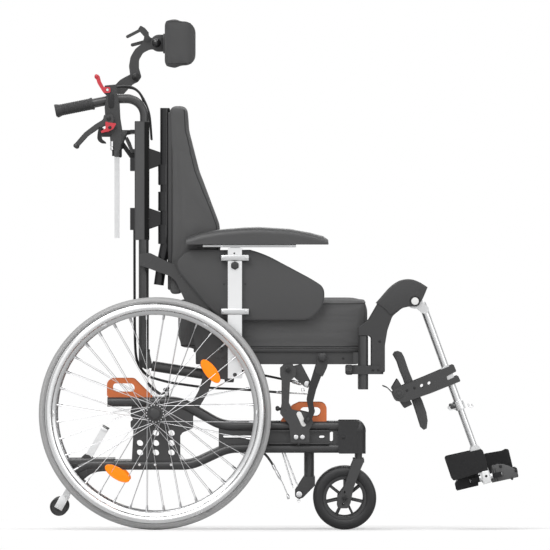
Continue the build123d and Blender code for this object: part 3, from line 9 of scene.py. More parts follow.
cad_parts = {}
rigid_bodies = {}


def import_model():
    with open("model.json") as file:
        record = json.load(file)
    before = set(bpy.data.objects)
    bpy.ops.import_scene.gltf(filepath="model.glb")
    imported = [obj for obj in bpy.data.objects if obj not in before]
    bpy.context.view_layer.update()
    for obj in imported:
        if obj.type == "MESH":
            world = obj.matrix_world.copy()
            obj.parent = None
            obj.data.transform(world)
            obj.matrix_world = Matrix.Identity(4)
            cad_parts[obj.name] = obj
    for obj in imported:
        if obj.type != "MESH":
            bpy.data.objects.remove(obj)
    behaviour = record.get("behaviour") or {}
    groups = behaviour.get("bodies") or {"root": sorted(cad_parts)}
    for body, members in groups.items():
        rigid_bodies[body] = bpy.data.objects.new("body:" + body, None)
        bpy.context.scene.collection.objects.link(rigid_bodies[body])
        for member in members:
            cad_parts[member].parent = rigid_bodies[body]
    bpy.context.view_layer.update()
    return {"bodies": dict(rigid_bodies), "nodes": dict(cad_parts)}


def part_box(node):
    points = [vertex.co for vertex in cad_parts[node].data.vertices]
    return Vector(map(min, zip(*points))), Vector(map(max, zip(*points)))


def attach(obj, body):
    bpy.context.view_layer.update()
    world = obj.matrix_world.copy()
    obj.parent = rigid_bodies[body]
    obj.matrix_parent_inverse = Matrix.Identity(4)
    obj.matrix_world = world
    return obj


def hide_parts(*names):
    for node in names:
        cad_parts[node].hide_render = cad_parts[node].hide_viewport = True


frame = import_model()

# Tilt-in-space wheelchair, in metres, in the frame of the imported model: +X is forward, +Z is up and
# the chair's right-hand side is -Y. A "lane" is a distance from the middle plane of the chair.

# ---- studio ----
# A still white room: a white world, a small white floor under the wheels and three soft lamps.
# The camera looks straight at the right-hand side through a very long lens.
picture_width = 1.4493
lens_distance = 66.0
camera_data = bpy.data.cameras.new("camera")
camera_data.sensor_width = 36.0
camera_data.lens = camera_data.sensor_width * lens_distance / picture_width
camera_data.clip_end = 400.0
camera = bpy.data.objects.new("camera", camera_data)
camera.location = (-0.0092, -lens_distance, 0.6686)
camera.rotation_euler = (math.radians(90), 0, 0)
bpy.context.collection.objects.link(camera)
bpy.context.scene.camera = camera
bpy.context.scene.view_settings.view_transform = "Standard"

world = bpy.data.worlds.new("white_room")
bpy.context.scene.world = world
world.use_nodes = True
room = world.node_tree
sky = room.nodes["Background"]
sky.inputs["Color"].default_value = (1, 1, 1, 1)


def math_node(tree, operation, first, second=None):
    """A Math node in a tree, fed by sockets or plain numbers; gives its output socket."""
    node = tree.nodes.new("ShaderNodeMath")
    node.operation = operation
    for slot_number, value in enumerate((first, second)):
        if isinstance(value, bpy.types.NodeSocket):
            tree.links.new(value, node.inputs[slot_number])
        elif value is not None:
            node.inputs[slot_number].default_value = value
    return node.outputs[0]


# Reflections see the same white room, with its side walls dimmer, so that round metal gets its edges.
rays = room.nodes.new("ShaderNodeLightPath")
towards = room.nodes.new("ShaderNodeSeparateXYZ")
room.links.new(room.nodes.new("ShaderNodeTexCoord").outputs["Generated"], towards.inputs[0])
facing = math_node(room, "MULTIPLY", math_node(room, "ABSOLUTE", towards.outputs["Y"]), 0.72)
wall = math_node(room, "ADD", facing, math_node(room, "MULTIPLY", towards.outputs["Z"], 0.45))
wall = math_node(room, "MAXIMUM", math_node(room, "ADD", wall, 0.22), 0.12)
strip = math_node(room, "ABSOLUTE", math_node(room, "SUBTRACT", towards.outputs["Z"], 0.82))
strip = math_node(room, "MAXIMUM", math_node(room, "SUBTRACT", 1.0, math_node(room, "MULTIPLY", strip, 9.0)), 0.0)
wall = math_node(room, "ADD", wall, math_node(room, "MULTIPLY", strip, 4.5))
# Soft light comes mostly from the two long walls and the ceiling, so that rounded forms darken at their ends.
front = math_node(room, "POWER", math_node(room, "ABSOLUTE", towards.outputs["Y"]), 3.0)
soft = math_node(room, "ADD", math_node(room, "MULTIPLY", front, 0.95), 0.16)
upward = math_node(room, "MAXIMUM", towards.outputs["Z"], 0.0)
soft = math_node(room, "ADD", soft, math_node(room, "MULTIPLY", upward, 0.35))
lit = math_node(room, "ADD", math_node(room, "MULTIPLY", rays.outputs["Is Diffuse Ray"], soft),
                math_node(room, "MULTIPLY", rays.outputs["Is Glossy Ray"], wall))
plain = math_node(room, "MAXIMUM", rays.outputs["Is Camera Ray"], rays.outputs["Is Transmission Ray"])
room.links.new(math_node(room, "MAXIMUM", lit, plain), sky.inputs["Strength"])

for lamp_name, place, size, power in [("key", (-1.6, -3.2, 3.4), 2.4, 62.0), ("fill", (2.6, -2.6, 1.6), 2.6, 22.0),
                                      ("back", (0.4, 3.4, 2.8), 2.6, 40.0)]:
    lamp = bpy.data.lights.new(lamp_name, "AREA")
    lamp.shape = "DISK"
    lamp.size = size
    lamp.energy = power
    lamp_object = bpy.data.objects.new(lamp_name, lamp)
    lamp_object.location = place
    lamp_object.rotation_euler = (Vector((-0.05, 0, 0.65)) - Vector(place)).to_track_quat("-Z", "Y").to_euler()
    bpy.context.collection.objects.link(lamp_object)

floor_shape = bmesh.new()
bmesh.ops.create_circle(floor_shape, cap_ends=True, segments=96, radius=1.9,
                        matrix=Matrix.Translation((0, 0, -0.0005)))
floor_mesh = bpy.data.meshes.new("floor")
floor_shape.to_mesh(floor_mesh)
floor_shape.free()
floor = bpy.data.objects.new("floor", floor_mesh)
bpy.context.collection.objects.link(floor)
floor_white = bpy.data.materials.new("floor_white")
floor_white.use_nodes = True
floor_nodes = floor_white.node_tree.nodes
# The camera sees white paper; light that bounces off it is dim, so that undersides stay dark.
seen = floor_nodes.new("ShaderNodeLightPath").outputs["Is Camera Ray"]
paper = math_node(floor_white.node_tree, "ADD", math_node(floor_white.node_tree, "MULTIPLY", seen, 0.25), 0.72)
floor_white.node_tree.links.new(paper, floor_nodes["Principled BSDF"].inputs["Base Color"])
floor_white.node_tree.links.new(math_node(floor_white.node_tree, "MULTIPLY", seen, 0.24),
                                floor_nodes["Principled BSDF"].inputs["Emission Strength"])
floor_nodes["Principled BSDF"].inputs["Roughness"].default_value = 0.9
floor_nodes["Principled BSDF"].inputs["Specular IOR Level"].default_value = 0.0
floor_nodes["Principled BSDF"].inputs["Emission Color"].default_value = (1, 1, 1, 1)
floor_mesh.materials.append(floor_white)

# ---- side frames and cross tubes ----
# Bent steel tubes with a web plate between them, welded and powder-coated black. Hex bolts with
# blackened heads hold the carriage rail and the caster housing.
def socket_group(name, inputs, outputs):
    """A new shader node group with its inputs (name, kind, value) and outputs (name, kind)."""
    tree = bpy.data.node_groups.new(name, "ShaderNodeTree")
    for label, kind, value in inputs:
        tree.interface.new_socket(label, in_out="INPUT", socket_type="NodeSocket" + kind).default_value = value
    for label, kind in outputs:
        tree.interface.new_socket(label, in_out="OUTPUT", socket_type="NodeSocket" + kind)
    return tree, tree.nodes.new("NodeGroupInput"), tree.nodes.new("NodeGroupOutput")


# Every finish has slow drifts of tone and gloss, and a fine grain in its surface.
grain, grain_in, grain_out = socket_group(
    "surface_grain",
    [("Color", "Color", (0.5, 0.5, 0.5, 1)), ("Spread", "Float", 0.1), ("Patch Size", "Float", 9.0),
     ("Roughness", "Float", 0.5), ("Grain Size", "Float", 900.0), ("Grain Depth", "Float", 0.0001)],
    [("Color", "Color"), ("Roughness", "Float"), ("Normal", "Vector")])
grain_place = grain.nodes.new("ShaderNodeTexCoord").outputs["Object"]
patches = grain.nodes.new("ShaderNodeTexNoise")
patches.inputs["Detail"].default_value = 4.0
grain.links.new(grain_place, patches.inputs["Vector"])
grain.links.new(grain_in.outputs["Patch Size"], patches.inputs["Scale"])
swing = math_node(grain, "SUBTRACT", patches.outputs["Fac"], 0.5)
tone = math_node(grain, "ADD", math_node(grain, "MULTIPLY", swing, grain_in.outputs["Spread"]), 1.0)
tinted = grain.nodes.new("ShaderNodeVectorMath")
tinted.operation = "SCALE"
grain.links.new(grain_in.outputs["Color"], tinted.inputs[0])
grain.links.new(tone, tinted.inputs["Scale"])
grain.links.new(tinted.outputs[0], grain_out.inputs["Color"])
grain.links.new(math_node(grain, "ADD", grain_in.outputs["Roughness"], math_node(grain, "MULTIPLY", swing, 0.22)),
                grain_out.inputs["Roughness"])
specks = grain.nodes.new("ShaderNodeTexNoise")
specks.inputs["Detail"].default_value = 2.0
grain.links.new(grain_place, specks.inputs["Vector"])
grain.links.new(grain_in.outputs["Grain Size"], specks.inputs["Scale"])
grain_bump = grain.nodes.new("ShaderNodeBump")
grain.links.new(specks.outputs["Fac"], grain_bump.inputs["Height"])
grain.links.new(grain_in.outputs["Grain Depth"], grain_bump.inputs["Distance"])
grain.links.new(grain_bump.outputs["Normal"], grain_out.inputs["Normal"])


def finish(name, colour, roughness, spread=0.15, patch=9.0, grain_size=900.0, depth=0.00006, **settings):
    """A material with the surface grain; settings are plain values of the shader's own sockets."""
    material = bpy.data.materials.new(name)
    material.use_nodes = True
    tree = material.node_tree
    shader = tree.nodes["Principled BSDF"]
    surface = tree.nodes.new("ShaderNodeGroup")
    surface.node_tree = grain
    for label, value in [("Color", (*colour, 1)), ("Spread", spread), ("Patch Size", patch), ("Roughness", roughness),
                         ("Grain Size", grain_size), ("Grain Depth", depth)]:
        surface.inputs[label].default_value = value
    tree.links.new(surface.outputs["Color"], shader.inputs["Base Color"])
    tree.links.new(surface.outputs["Roughness"], shader.inputs["Roughness"])
    tree.links.new(surface.outputs["Normal"], shader.inputs["Normal"])
    for label, value in settings.items():
        shader.inputs[label.replace("_", " ")].default_value = value
    return material


def dress(material, *nodes):
    """Gives CAD nodes a material; a name without its side means both sides."""
    for node in nodes:
        for side in ("", "_right", "_left"):
            if node + side in frame["nodes"]:
                for material_slot in frame["nodes"][node + side].material_slots:
                    material_slot.material = material


def piece(name, shape, body, material, sharp=35.0):
    """Makes an object of a finished bmesh, faces outwards, and sets it on its body."""
    bmesh.ops.recalc_face_normals(shape, faces=shape.faces)
    mesh = bpy.data.meshes.new(name)
    shape.to_mesh(mesh)
    shape.free()
    mesh.shade_smooth()
    mesh.set_sharp_from_angle(angle=math.radians(sharp))
    mesh.materials.append(material)
    made = bpy.data.objects.new(name, mesh)
    bpy.context.collection.objects.link(made)
    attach(made, body)
    return made


def both_sides(name, shape, body, material, sharp=35.0, replaced=None):
    """A right-hand piece and its mirror image, on one body or on a right and a left one."""
    pair = []
    other = shape.copy()
    bmesh.ops.scale(other, vec=(1, -1, 1), verts=other.verts)
    for side, half in (("_right", shape), ("_left", other)):
        carrier = body + side if body + side in frame["bodies"] else body
        made = piece(name + side, half, carrier, material, sharp)
        if replaced:
            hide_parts(replaced + side)
        pair.append(made)
    return pair


def add_drum(shape, centre, lane, length, radius, segments=24, edge=0.0):
    """Adds a round bar across the chair, from lane outwards, with an optional bevel."""
    turn = Matrix.Translation((centre[0], -lane - length / 2, centre[1])) @ Matrix.Rotation(math.radians(90), 4, "X")
    drum = bmesh.ops.create_cone(shape, cap_ends=True, segments=segments, radius1=radius, radius2=radius,
                                 depth=length, matrix=turn)
    if edge:
        rims = {e for v in drum["verts"] for e in v.link_edges if len(e.link_faces) == 2
                and any(len(f.verts) > 4 for f in e.link_faces)}
        bmesh.ops.bevel(shape, geom=list(rims), offset=edge, segments=2, profile=0.5, affect="EDGES", material=-1)


def add_bolt(shape, centre, lane, size=0.0045):
    """Adds a washer and a chamfered hexagon head on a face at this lane."""
    add_drum(shape, centre, lane, 0.0014, size * 1.35, 24, 0.0004)
    add_drum(shape, centre, lane + 0.0014, size * 0.8, size, 6, size * 0.12)


powder_black = finish("powder_black", (0.052, 0.052, 0.053), 0.30, patch=7.0, grain_size=1400.0, depth=0.00004,
                      Specular_IOR_Level=0.42, Coat_Weight=0.15, Coat_Roughness=0.18)
zinc = finish("zinc_bolt", (0.78, 0.78, 0.79), 0.26, spread=0.2, Metallic=1.0)
dress(powder_black, "side_frames", "cross_tubes")

frame_bolts = bmesh.new()
for bolt_place in [(-0.0170, 0.2735), (0.0225, 0.2735), (0.1040, 0.2705), (0.1040, 0.2180)]:
    add_bolt(frame_bolts, bolt_place, 0.2365, 0.0048)
both_sides("frame_bolts", frame_bolts, "chassis", powder_black)

# ---- tie-down loops ----
# Flat steel loops cut from plate, where straps hold the chair down in a vehicle. They are welded on
# the side frames, front and rear, and painted signal orange.
loop_orange = finish("loop_orange", (0.64, 0.150, 0.030), 0.4, spread=0.12, patch=20.0, grain_size=1100.0,
                     Coat_Weight=0.2)
dress(loop_orange, "tie_down_loops")

# ---- caster housings ----
# Black glass-filled nylon mouldings with a fine spark-eroded texture, which carry the bearings of the
# caster stems. A socket screw fixes each in the side frame.
moulded_black = finish("moulded_black", (0.046, 0.046, 0.047), 0.52, patch=12.0, grain_size=2200.0, depth=0.00012,
                       Specular_IOR_Level=0.4)
housing_black = finish("housing_black", (0.026, 0.026, 0.027), 0.48, patch=12.0, grain_size=2200.0, depth=0.00012,
                       Specular_IOR_Level=0.4)
dress(housing_black, "caster_housings")
screw_black = finish("screw_black", (0.010, 0.010, 0.011), 0.3, spread=0.1, Specular_IOR_Level=0.5)


def add_cap(shape, centre, lane, height, radius, segments, edge, socket, depth):
    """Adds a round head from a lane outwards, with the hexagon of its key on the outer face."""
    add_drum(shape, centre, lane, height, radius, segments, edge)
    add_drum(shape, centre, lane + height, depth, socket, 6)


housing_screws = bmesh.new()
add_cap(housing_screws, (0.1700, 0.2420), 0.2500, 0.0014, 0.0042, 24, 0.0006, 0.0020, 0.0004)
both_sides("housing_screws", housing_screws, "chassis", screw_black)

# ---- tilt carriages and links ----
# Laser-cut steel plates, powder-coated. Each carriage block slides in its rail; bright button-head
# bolts show on the block and a white nylon insert in the plate's slot damps its end stop.
dress(powder_black, "tilt_carriages", "rear_links")
carriage_bolts = bmesh.new()
for bolt_place in [(0.0460, 0.2430), (0.0630, 0.2430)]:
    add_cap(carriage_bolts, bolt_place, 0.2600, 0.0028, 0.0062, 28, 0.0012, 0.0028, 0.0004)
both_sides("carriage_bolts", carriage_bolts, "tilt_carriage", zinc)
pivot_bolts = bmesh.new()
add_drum(pivot_bolts, (0.0525, 0.2235), 0.2560, 0.0016, 0.0030, 20, 0.0005)
add_cap(pivot_bolts, (0.0250, 0.4195), 0.2600, 0.0034, 0.0070, 28, 0.0012, 0.0032, 0.0004)
both_sides("pivot_bolts", pivot_bolts, "tilt_carriage", screw_black)


def add_block(shape, place, size, edge=0.0, segments=2):
    """Adds a box of this size; place is the matrix that turns and sets it, edge rounds its edges."""
    block = bmesh.ops.create_cube(shape, size=1.0, matrix=place @ Matrix.Diagonal((*size, 1)))
    if edge:
        bmesh.ops.bevel(shape, geom=list({e for v in block["verts"] for e in v.link_edges}), offset=edge,
                        segments=segments, profile=0.5, affect="EDGES", material=-1)


stop_knobs = bmesh.new()
bmesh.ops.create_uvsphere(stop_knobs, u_segments=24, v_segments=14, radius=0.0056,
                          matrix=Matrix.Translation((-0.0025, -0.2540, 0.3170)))
add_drum(stop_knobs, (-0.0025, 0.3170), 0.2440, 0.0100, 0.0030, 16)
add_block(stop_knobs, Matrix.Translation((0.0105, -0.2450, 0.3145)) @ Matrix.Rotation(math.radians(10), 4, "Y"),
          (0.0240, 0.0030, 0.0056), 0.0008)
both_sides("stop_knobs", stop_knobs, "tilt_carriage", screw_black)

nylon_white = finish("nylon_white", (0.86, 0.86, 0.85), 0.38, spread=0.05, Specular_IOR_Level=0.5)
insert_low = Vector((0.0660, 0.2775))
insert_high = Vector((0.0540, 0.3035))
insert_width = 0.0135
insert = bmesh.new()
insert_run = insert_high - insert_low
insert_turn = math.atan2(insert_run.y, insert_run.x)
for end, start_angle in [(insert_high, -90.0), (insert_low, 90.0)]:
    for step in range(9):
        angle = math.radians(start_angle + step * 22.5) + insert_turn
        insert.verts.new((end.x + insert_width / 2 * math.cos(angle), -0.2562,
                          end.y + insert_width / 2 * math.sin(angle)))
insert_face = insert.faces.new(insert.verts)
grown = bmesh.ops.extrude_face_region(insert, geom=[insert_face])
insert_front = [v for v in grown["geom"] if isinstance(v, bmesh.types.BMVert)]
bmesh.ops.translate(insert, vec=(0, -0.0028, 0), verts=insert_front)
insert_rim = [e for e in insert.edges if all(v in insert_front for v in e.verts)]
bmesh.ops.bevel(insert, geom=insert_rim, offset=0.0010, segments=2, profile=0.5, affect="EDGES", material=-1)
both_sides("stop_insert", insert, "tilt_carriage", nylon_white)

# ---- tilt gas spring ----
# A sealed gas spring on the middle plane lifts the seat: a painted steel cylinder and a hard-chromed
# rod. The two recline springs of the back have the same finish.
chrome = finish("polished_rod", (0.80, 0.80, 0.81), 0.12, spread=0.08, Metallic=1.0)
dress(powder_black, "tilt_spring_cylinder", "recline_spring_cylinders")
dress(chrome, "tilt_spring_rod", "recline_spring_rods")

# ---- frame tube plugs ----
# Small white nylon plugs, pressed into the spare holes of the lower frame tube, under the three
# columns of holes in the axle plate.
tube_plugs = bmesh.new()
for mark in [(-0.3650, 0.1705), (-0.3240, 0.1705), (-0.2820, 0.1705)]:
    add_drum(tube_plugs, mark, 0.2438, 0.0012, 0.0034, 20, 0.0004)
both_sides("tube_plugs", tube_plugs, "chassis", nylon_white)

# ---- rear wheels ----
# 24 inch spoked wheels: a grey solid tyre, a brushed double-wall rim, 36 steel spokes laced three
# across, a black turned hub with its dust cap, and a polished push rim on six tabs. Two orange
# reflectors clip between the spokes.
wheel_centre = (-0.3241, 0.3050)
tyre_lane = 0.282
pushrim_lane = 0.318


def add_turning(shape, profile, centre, steps=96):
    """Adds a body turned about the crosswise axis through centre; profile is (radius, lane) pairs."""
    ring = [shape.verts.new((centre[0], -lane, centre[1] + radius)) for radius, lane in profile]
    rims = [shape.edges.new(pair) for pair in zip(ring, ring[1:] + ring[:1])]
    bmesh.ops.spin(shape, geom=ring + rims, cent=(centre[0], 0, centre[1]), axis=(0, 1, 0),
                   angle=math.radians(360), steps=steps, use_merge=True, use_duplicate=False)
    bmesh.ops.remove_doubles(shape, verts=shape.verts, dist=0.00001)


def wire_ring(radius, lane, thickness, steps=8):
    """The profile of a ring of round wire: radius and lane are those of the wire's middle."""
    return [(radius + thickness * math.cos(math.tau * step / steps),
             lane + thickness * math.sin(math.tau * step / steps))
            for step in range(steps)]


tyre_grey = finish("tyre_grey", (0.50, 0.50, 0.50), 0.78, spread=0.16, patch=22.0, grain_size=1500.0, depth=0.00016,
                   Specular_IOR_Level=0.3)
tyre_outer = 0.305
tyre_inner = 0.2885
tread_steps = 300
tyre = bmesh.new()
tyre_profile = [(tyre_inner, 0.0070), (tyre_inner + 0.0010, 0.0105), (tyre_inner + 0.0040, 0.0150),
                (tyre_inner + 0.0085, 0.0168), (tyre_outer - 0.0045, 0.0150), (tyre_outer - 0.0018, 0.0112),
                (tyre_outer - 0.0008, 0.0080), (tyre_outer - 0.0016, 0.0072), (tyre_outer - 0.0016, 0.0060),
                (tyre_outer - 0.0003, 0.0052), (tyre_outer, 0.0016), (tyre_outer - 0.0009, 0.0010)]
tyre_profile += [(radius, -lane) for radius, lane in reversed(tyre_profile)]
add_turning(tyre, [(radius, tyre_lane + lane) for radius, lane in tyre_profile], wheel_centre, tread_steps)
# small cross cuts make the fine tread: every second slice of the shoulder is pressed in
for vertex in tyre.verts:
    spoke = Vector((vertex.co.x - wheel_centre[0], vertex.co.z - wheel_centre[1]))
    across = abs(-vertex.co.y - tyre_lane)
    slice_number = round(math.atan2(spoke.y, spoke.x) / math.tau * tread_steps)
    if slice_number % 2 and 0.0070 < across < 0.0155 and spoke.length > tyre_outer - 0.0060:
        vertex.co.x -= spoke.x / spoke.length * 0.0012
        vertex.co.z -= spoke.y / spoke.length * 0.0012
both_sides("tyre", tyre, "rear_wheel", tyre_grey, 50.0, replaced="rear_tyre")

turned_grain = dict(spread=0.06, patch=16.0, grain_size=500.0, depth=0.00002)
polished = finish("polished_aluminium", (0.92, 0.925, 0.93), 0.24, **turned_grain, Metallic=1.0)
rim_inner = 0.2590
rim_brushed = finish("rim_brushed", (0.70, 0.705, 0.71), 0.3, **turned_grain, Metallic=1.0)
rim = bmesh.new()
add_turning(rim, [(tyre_inner, tyre_lane + 0.0118), (tyre_inner, tyre_lane + 0.0098), (0.2800, tyre_lane + 0.0090),
                  (0.2800, tyre_lane - 0.0090), (tyre_inner, tyre_lane - 0.0098), (tyre_inner, tyre_lane - 0.0118),
                  (0.2770, tyre_lane - 0.0116), (0.2640, tyre_lane - 0.0085), (rim_inner, tyre_lane - 0.0035),
                  (rim_inner, tyre_lane + 0.0035), (0.2640, tyre_lane + 0.0085), (0.2770, tyre_lane + 0.0116)],
            wheel_centre, 144)
both_sides("rim", rim, "rear_wheel", rim_brushed)

spoke_count = 36
spoke_radius = 0.00076
flange_radius = 0.0225
flange_offset = 0.0215
spoke_lead = 3.0 * 2.0 * math.tau / spoke_count
spokes = bmesh.new()
for number in range(spoke_count):
    at_rim = math.tau * (number + 0.5) / spoke_count
    at_hub = at_rim + (spoke_lead if number % 4 < 2 else -spoke_lead)
    flange = tyre_lane + (flange_offset if number % 2 else -flange_offset)
    hub_end = Vector((wheel_centre[0] + flange_radius * math.cos(at_hub), -flange,
                      wheel_centre[1] + flange_radius * math.sin(at_hub)))
    rim_end = Vector((wheel_centre[0] + rim_inner * math.cos(at_rim), -tyre_lane,
                      wheel_centre[1] + rim_inner * math.sin(at_rim)))
    run = rim_end - hub_end
    along = run.to_track_quat("Z", "Y").to_matrix().to_4x4()
    bmesh.ops.create_cone(spokes, cap_ends=True, segments=8, radius1=spoke_radius, radius2=spoke_radius,
                          depth=run.length, matrix=Matrix.Translation((hub_end + rim_end) / 2) @ along)
    nipple = rim_end - run.normalized() * 0.0060
    bmesh.ops.create_cone(spokes, cap_ends=True, segments=8, radius1=0.0018, radius2=0.0024, depth=0.0130,
                          matrix=Matrix.Translation(nipple) @ along)
    head_side = 0.0016 if number % 2 == 0 else -0.0016
    bmesh.ops.create_uvsphere(spokes, u_segments=8, v_segments=6, radius=0.0020,
                              matrix=Matrix.Translation(hub_end + Vector((0, head_side, 0))))
spoke_steel = finish("spoke_steel", (0.64, 0.64, 0.65), 0.30, spread=0.1, Metallic=1.0)
both_sides("spokes", spokes, "rear_wheel", spoke_steel)

hub = bmesh.new()
add_turning(hub, [(0.0066, tyre_lane + 0.0255), (0.0150, tyre_lane + 0.0255), (0.0165, tyre_lane + 0.0235),
                  (0.0248, tyre_lane + 0.0230), (0.0251, tyre_lane + 0.0200), (0.0180, tyre_lane + 0.0190),
                  (0.0140, tyre_lane + 0.0140), (0.0140, tyre_lane - 0.0140), (0.0180, tyre_lane - 0.0190),
                  (0.0268, tyre_lane - 0.0200), (0.0265, tyre_lane - 0.0230), (0.0165, tyre_lane - 0.0235),
                  (0.0150, tyre_lane - 0.0330), (0.0066, tyre_lane - 0.0330)], wheel_centre, 64)
add_drum(hub, wheel_centre, 0.2220, 0.0920, 0.0062, 24)
both_sides("hub", hub, "rear_wheel", powder_black)

dust_cap = bmesh.new()
add_turning(dust_cap, [(0.0001, tyre_lane + 0.0330), (0.0080, tyre_lane + 0.0328), (0.0125, tyre_lane + 0.0315),
                       (0.0145, tyre_lane + 0.0290), (0.0145, tyre_lane + 0.0250), (0.0001, tyre_lane + 0.0250)],
            wheel_centre, 48)
both_sides("dust_cap", dust_cap, "rear_wheel", powder_black)

pushrim = bmesh.new()
pushrim_radius = 0.2790
tube_radius = 0.0096
add_turning(pushrim, wire_ring(pushrim_radius, pushrim_lane, tube_radius, 20), wheel_centre, 160)
for number in range(6):
    tab_turn = Matrix.Rotation(math.tau * (number + 0.5) / 6, 4, "Y")
    turned = Matrix.Translation((wheel_centre[0], 0, wheel_centre[1])) @ tab_turn
    add_block(pushrim, turned @ Matrix.Translation((0, -0.3010, 0.2705)) @ Matrix.Rotation(math.radians(12), 4, "X"),
              (0.016, 0.034, 0.003), 0.0008)
    bmesh.ops.create_cone(pushrim, cap_ends=True, segments=12, radius1=0.0036, radius2=0.0030, depth=0.0034,
                          matrix=turned @ Matrix.Translation((0, -0.2900, 0.2660)))
for made in both_sides("pushrim", pushrim, "rear_wheel", polished):
    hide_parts(made.name.replace("pushrim", "rear_wheel"))

# The reflectors are oval slabs of clear orange plastic that clip on the spokes; the faint glow of their emission is
# painted light.
reflector_orange = finish("reflector_orange", (0.95, 0.25, 0.004), 0.22, spread=0.1, patch=40.0, grain_size=700.0,
                          depth=0.0006, Specular_IOR_Level=0.2, Coat_Weight=0.15, Coat_Roughness=0.1, Alpha=0.88,
                          Emission_Color=(1.0, 0.27, 0.004, 1), Emission_Strength=0.38)
reflector_half_length = 0.0372
reflector_half_width = 0.0158
reflectors = bmesh.new()
for reflector_place in [(-0.1785, 0.4160), (-0.4230, 0.1480)]:
    away = Vector(reflector_place) - Vector(wheel_centre)
    turned = Matrix.Rotation(-math.atan2(away.y, away.x), 4, "Y")
    turned = Matrix.Translation((reflector_place[0], -0.2810, reflector_place[1])) @ turned
    flat = bmesh.ops.create_circle(reflectors, cap_ends=True, segments=48, radius=1.0, matrix=turned @ Matrix.Diagonal(
        (reflector_half_width, 1, reflector_half_length, 1)) @ Matrix.Rotation(math.radians(90), 4, "X"))
    face = flat["verts"][0].link_faces[0]
    raised = [v for v in bmesh.ops.extrude_face_region(reflectors, geom=[face])["geom"]
              if isinstance(v, bmesh.types.BMVert)]
    bmesh.ops.translate(reflectors, vec=(0, -0.0075, 0), verts=raised)
    rim = [e for e in reflectors.edges if all(v in raised for v in e.verts)]
    bmesh.ops.bevel(reflectors, geom=rim, offset=0.0024, segments=3, profile=0.5, affect="EDGES", material=-1)
both_sides("spoke_reflectors", reflectors, "rear_wheel", reflector_orange, 60.0)

# ---- casters ----
# Pressed fork blades, powder-coated, with a nylon wheel of seven thin spokes and a black solid tyre.
# The axle is a blackened bolt, and two spare holes in each blade set other wheel heights.
dress(powder_black, "caster_fork")
caster_rubber = finish("caster_rubber", (0.020, 0.020, 0.021), 0.50, spread=0.2, patch=24.0, grain_size=1500.0,
                       depth=0.00014, Specular_IOR_Level=0.45)
caster_centre = (0.1740, 0.0830)
caster_lane = 0.232
caster_tyre = bmesh.new()
tyre_half = [(0.0568, 0.0120), (0.0590, 0.0140), (0.0680, 0.0150), (0.0760, 0.0138), (0.0805, 0.0105),
             (0.0824, 0.0060), (0.0830, 0.0020)]
add_turning(caster_tyre, [(radius, caster_lane + lane) for radius, lane in tyre_half]
            + [(radius, caster_lane - lane) for radius, lane in reversed(tyre_half)], caster_centre, 120)
both_sides("caster_tyre", caster_tyre, "caster_wheel", caster_rubber, 50.0)

caster_rim = bmesh.new()
add_turning(caster_rim, [(0.0570, caster_lane + 0.0128), (0.0570, caster_lane - 0.0128), (0.0500, caster_lane - 0.0118),
                         (0.0485, caster_lane - 0.0085), (0.0485, caster_lane + 0.0085),
                         (0.0500, caster_lane + 0.0118)],
            caster_centre, 96)
add_turning(caster_rim, [(0.0052, caster_lane + 0.0172), (0.0105, caster_lane + 0.0172), (0.0125, caster_lane + 0.0150),
                         (0.0135, caster_lane), (0.0125, caster_lane - 0.0150), (0.0105, caster_lane - 0.0172),
                         (0.0052, caster_lane - 0.0172)], caster_centre, 48)
for number in range(7):
    spoke_turn = Matrix.Rotation(math.tau * number / 7, 4, "Y")
    turned = Matrix.Translation((caster_centre[0], 0, caster_centre[1])) @ spoke_turn
    for offset, width in [(0.0, 0.0055), (0.0065, 0.0040), (-0.0065, 0.0040)]:
        add_block(caster_rim, turned @ Matrix.Translation((0, -caster_lane + offset, 0.0308)),
                  (width, 0.0062, 0.0382), 0.0008)
both_sides("caster_rim", caster_rim, "caster_wheel", moulded_black, replaced="caster_wheel")

caster_bolts = bmesh.new()
add_cap(caster_bolts, caster_centre, 0.2608, 0.0040, 0.0066, 28, 0.0012, 0.0030, 0.0006)
both_sides("caster_bolts", caster_bolts, "caster_fork", screw_black)

# ---- anti-tip supports ----
# Flat satin aluminium bars, each with a black end cap and a small black nylon roller on a shouldered
# screw. Black sleeves with round plugs close the rear ends of the side frames above them.
drawn_grain = dict(spread=0.08, patch=14.0, grain_size=700.0, depth=0.00003)
satin_aluminium = finish("satin_aluminium", (0.86, 0.865, 0.87), 0.34, **drawn_grain, Metallic=1.0)
dress(satin_aluminium, "antitip_bar")
antitip_centre = (-0.5765, 0.0600)
antitip_roller = bmesh.new()
add_turning(antitip_roller, [(0.0041, 0.2345), (0.0100, 0.2345), (0.0110, 0.2325), (0.0190, 0.2325), (0.0215, 0.2345),
                             (0.0240, 0.2310), (0.0240, 0.2170), (0.0215, 0.2135), (0.0190, 0.2155), (0.0110, 0.2155),
                             (0.0100, 0.2135), (0.0041, 0.2135)], antitip_centre, 64)
both_sides("antitip_roller", antitip_roller, "antitip_wheel", moulded_black, replaced="antitip_wheel")


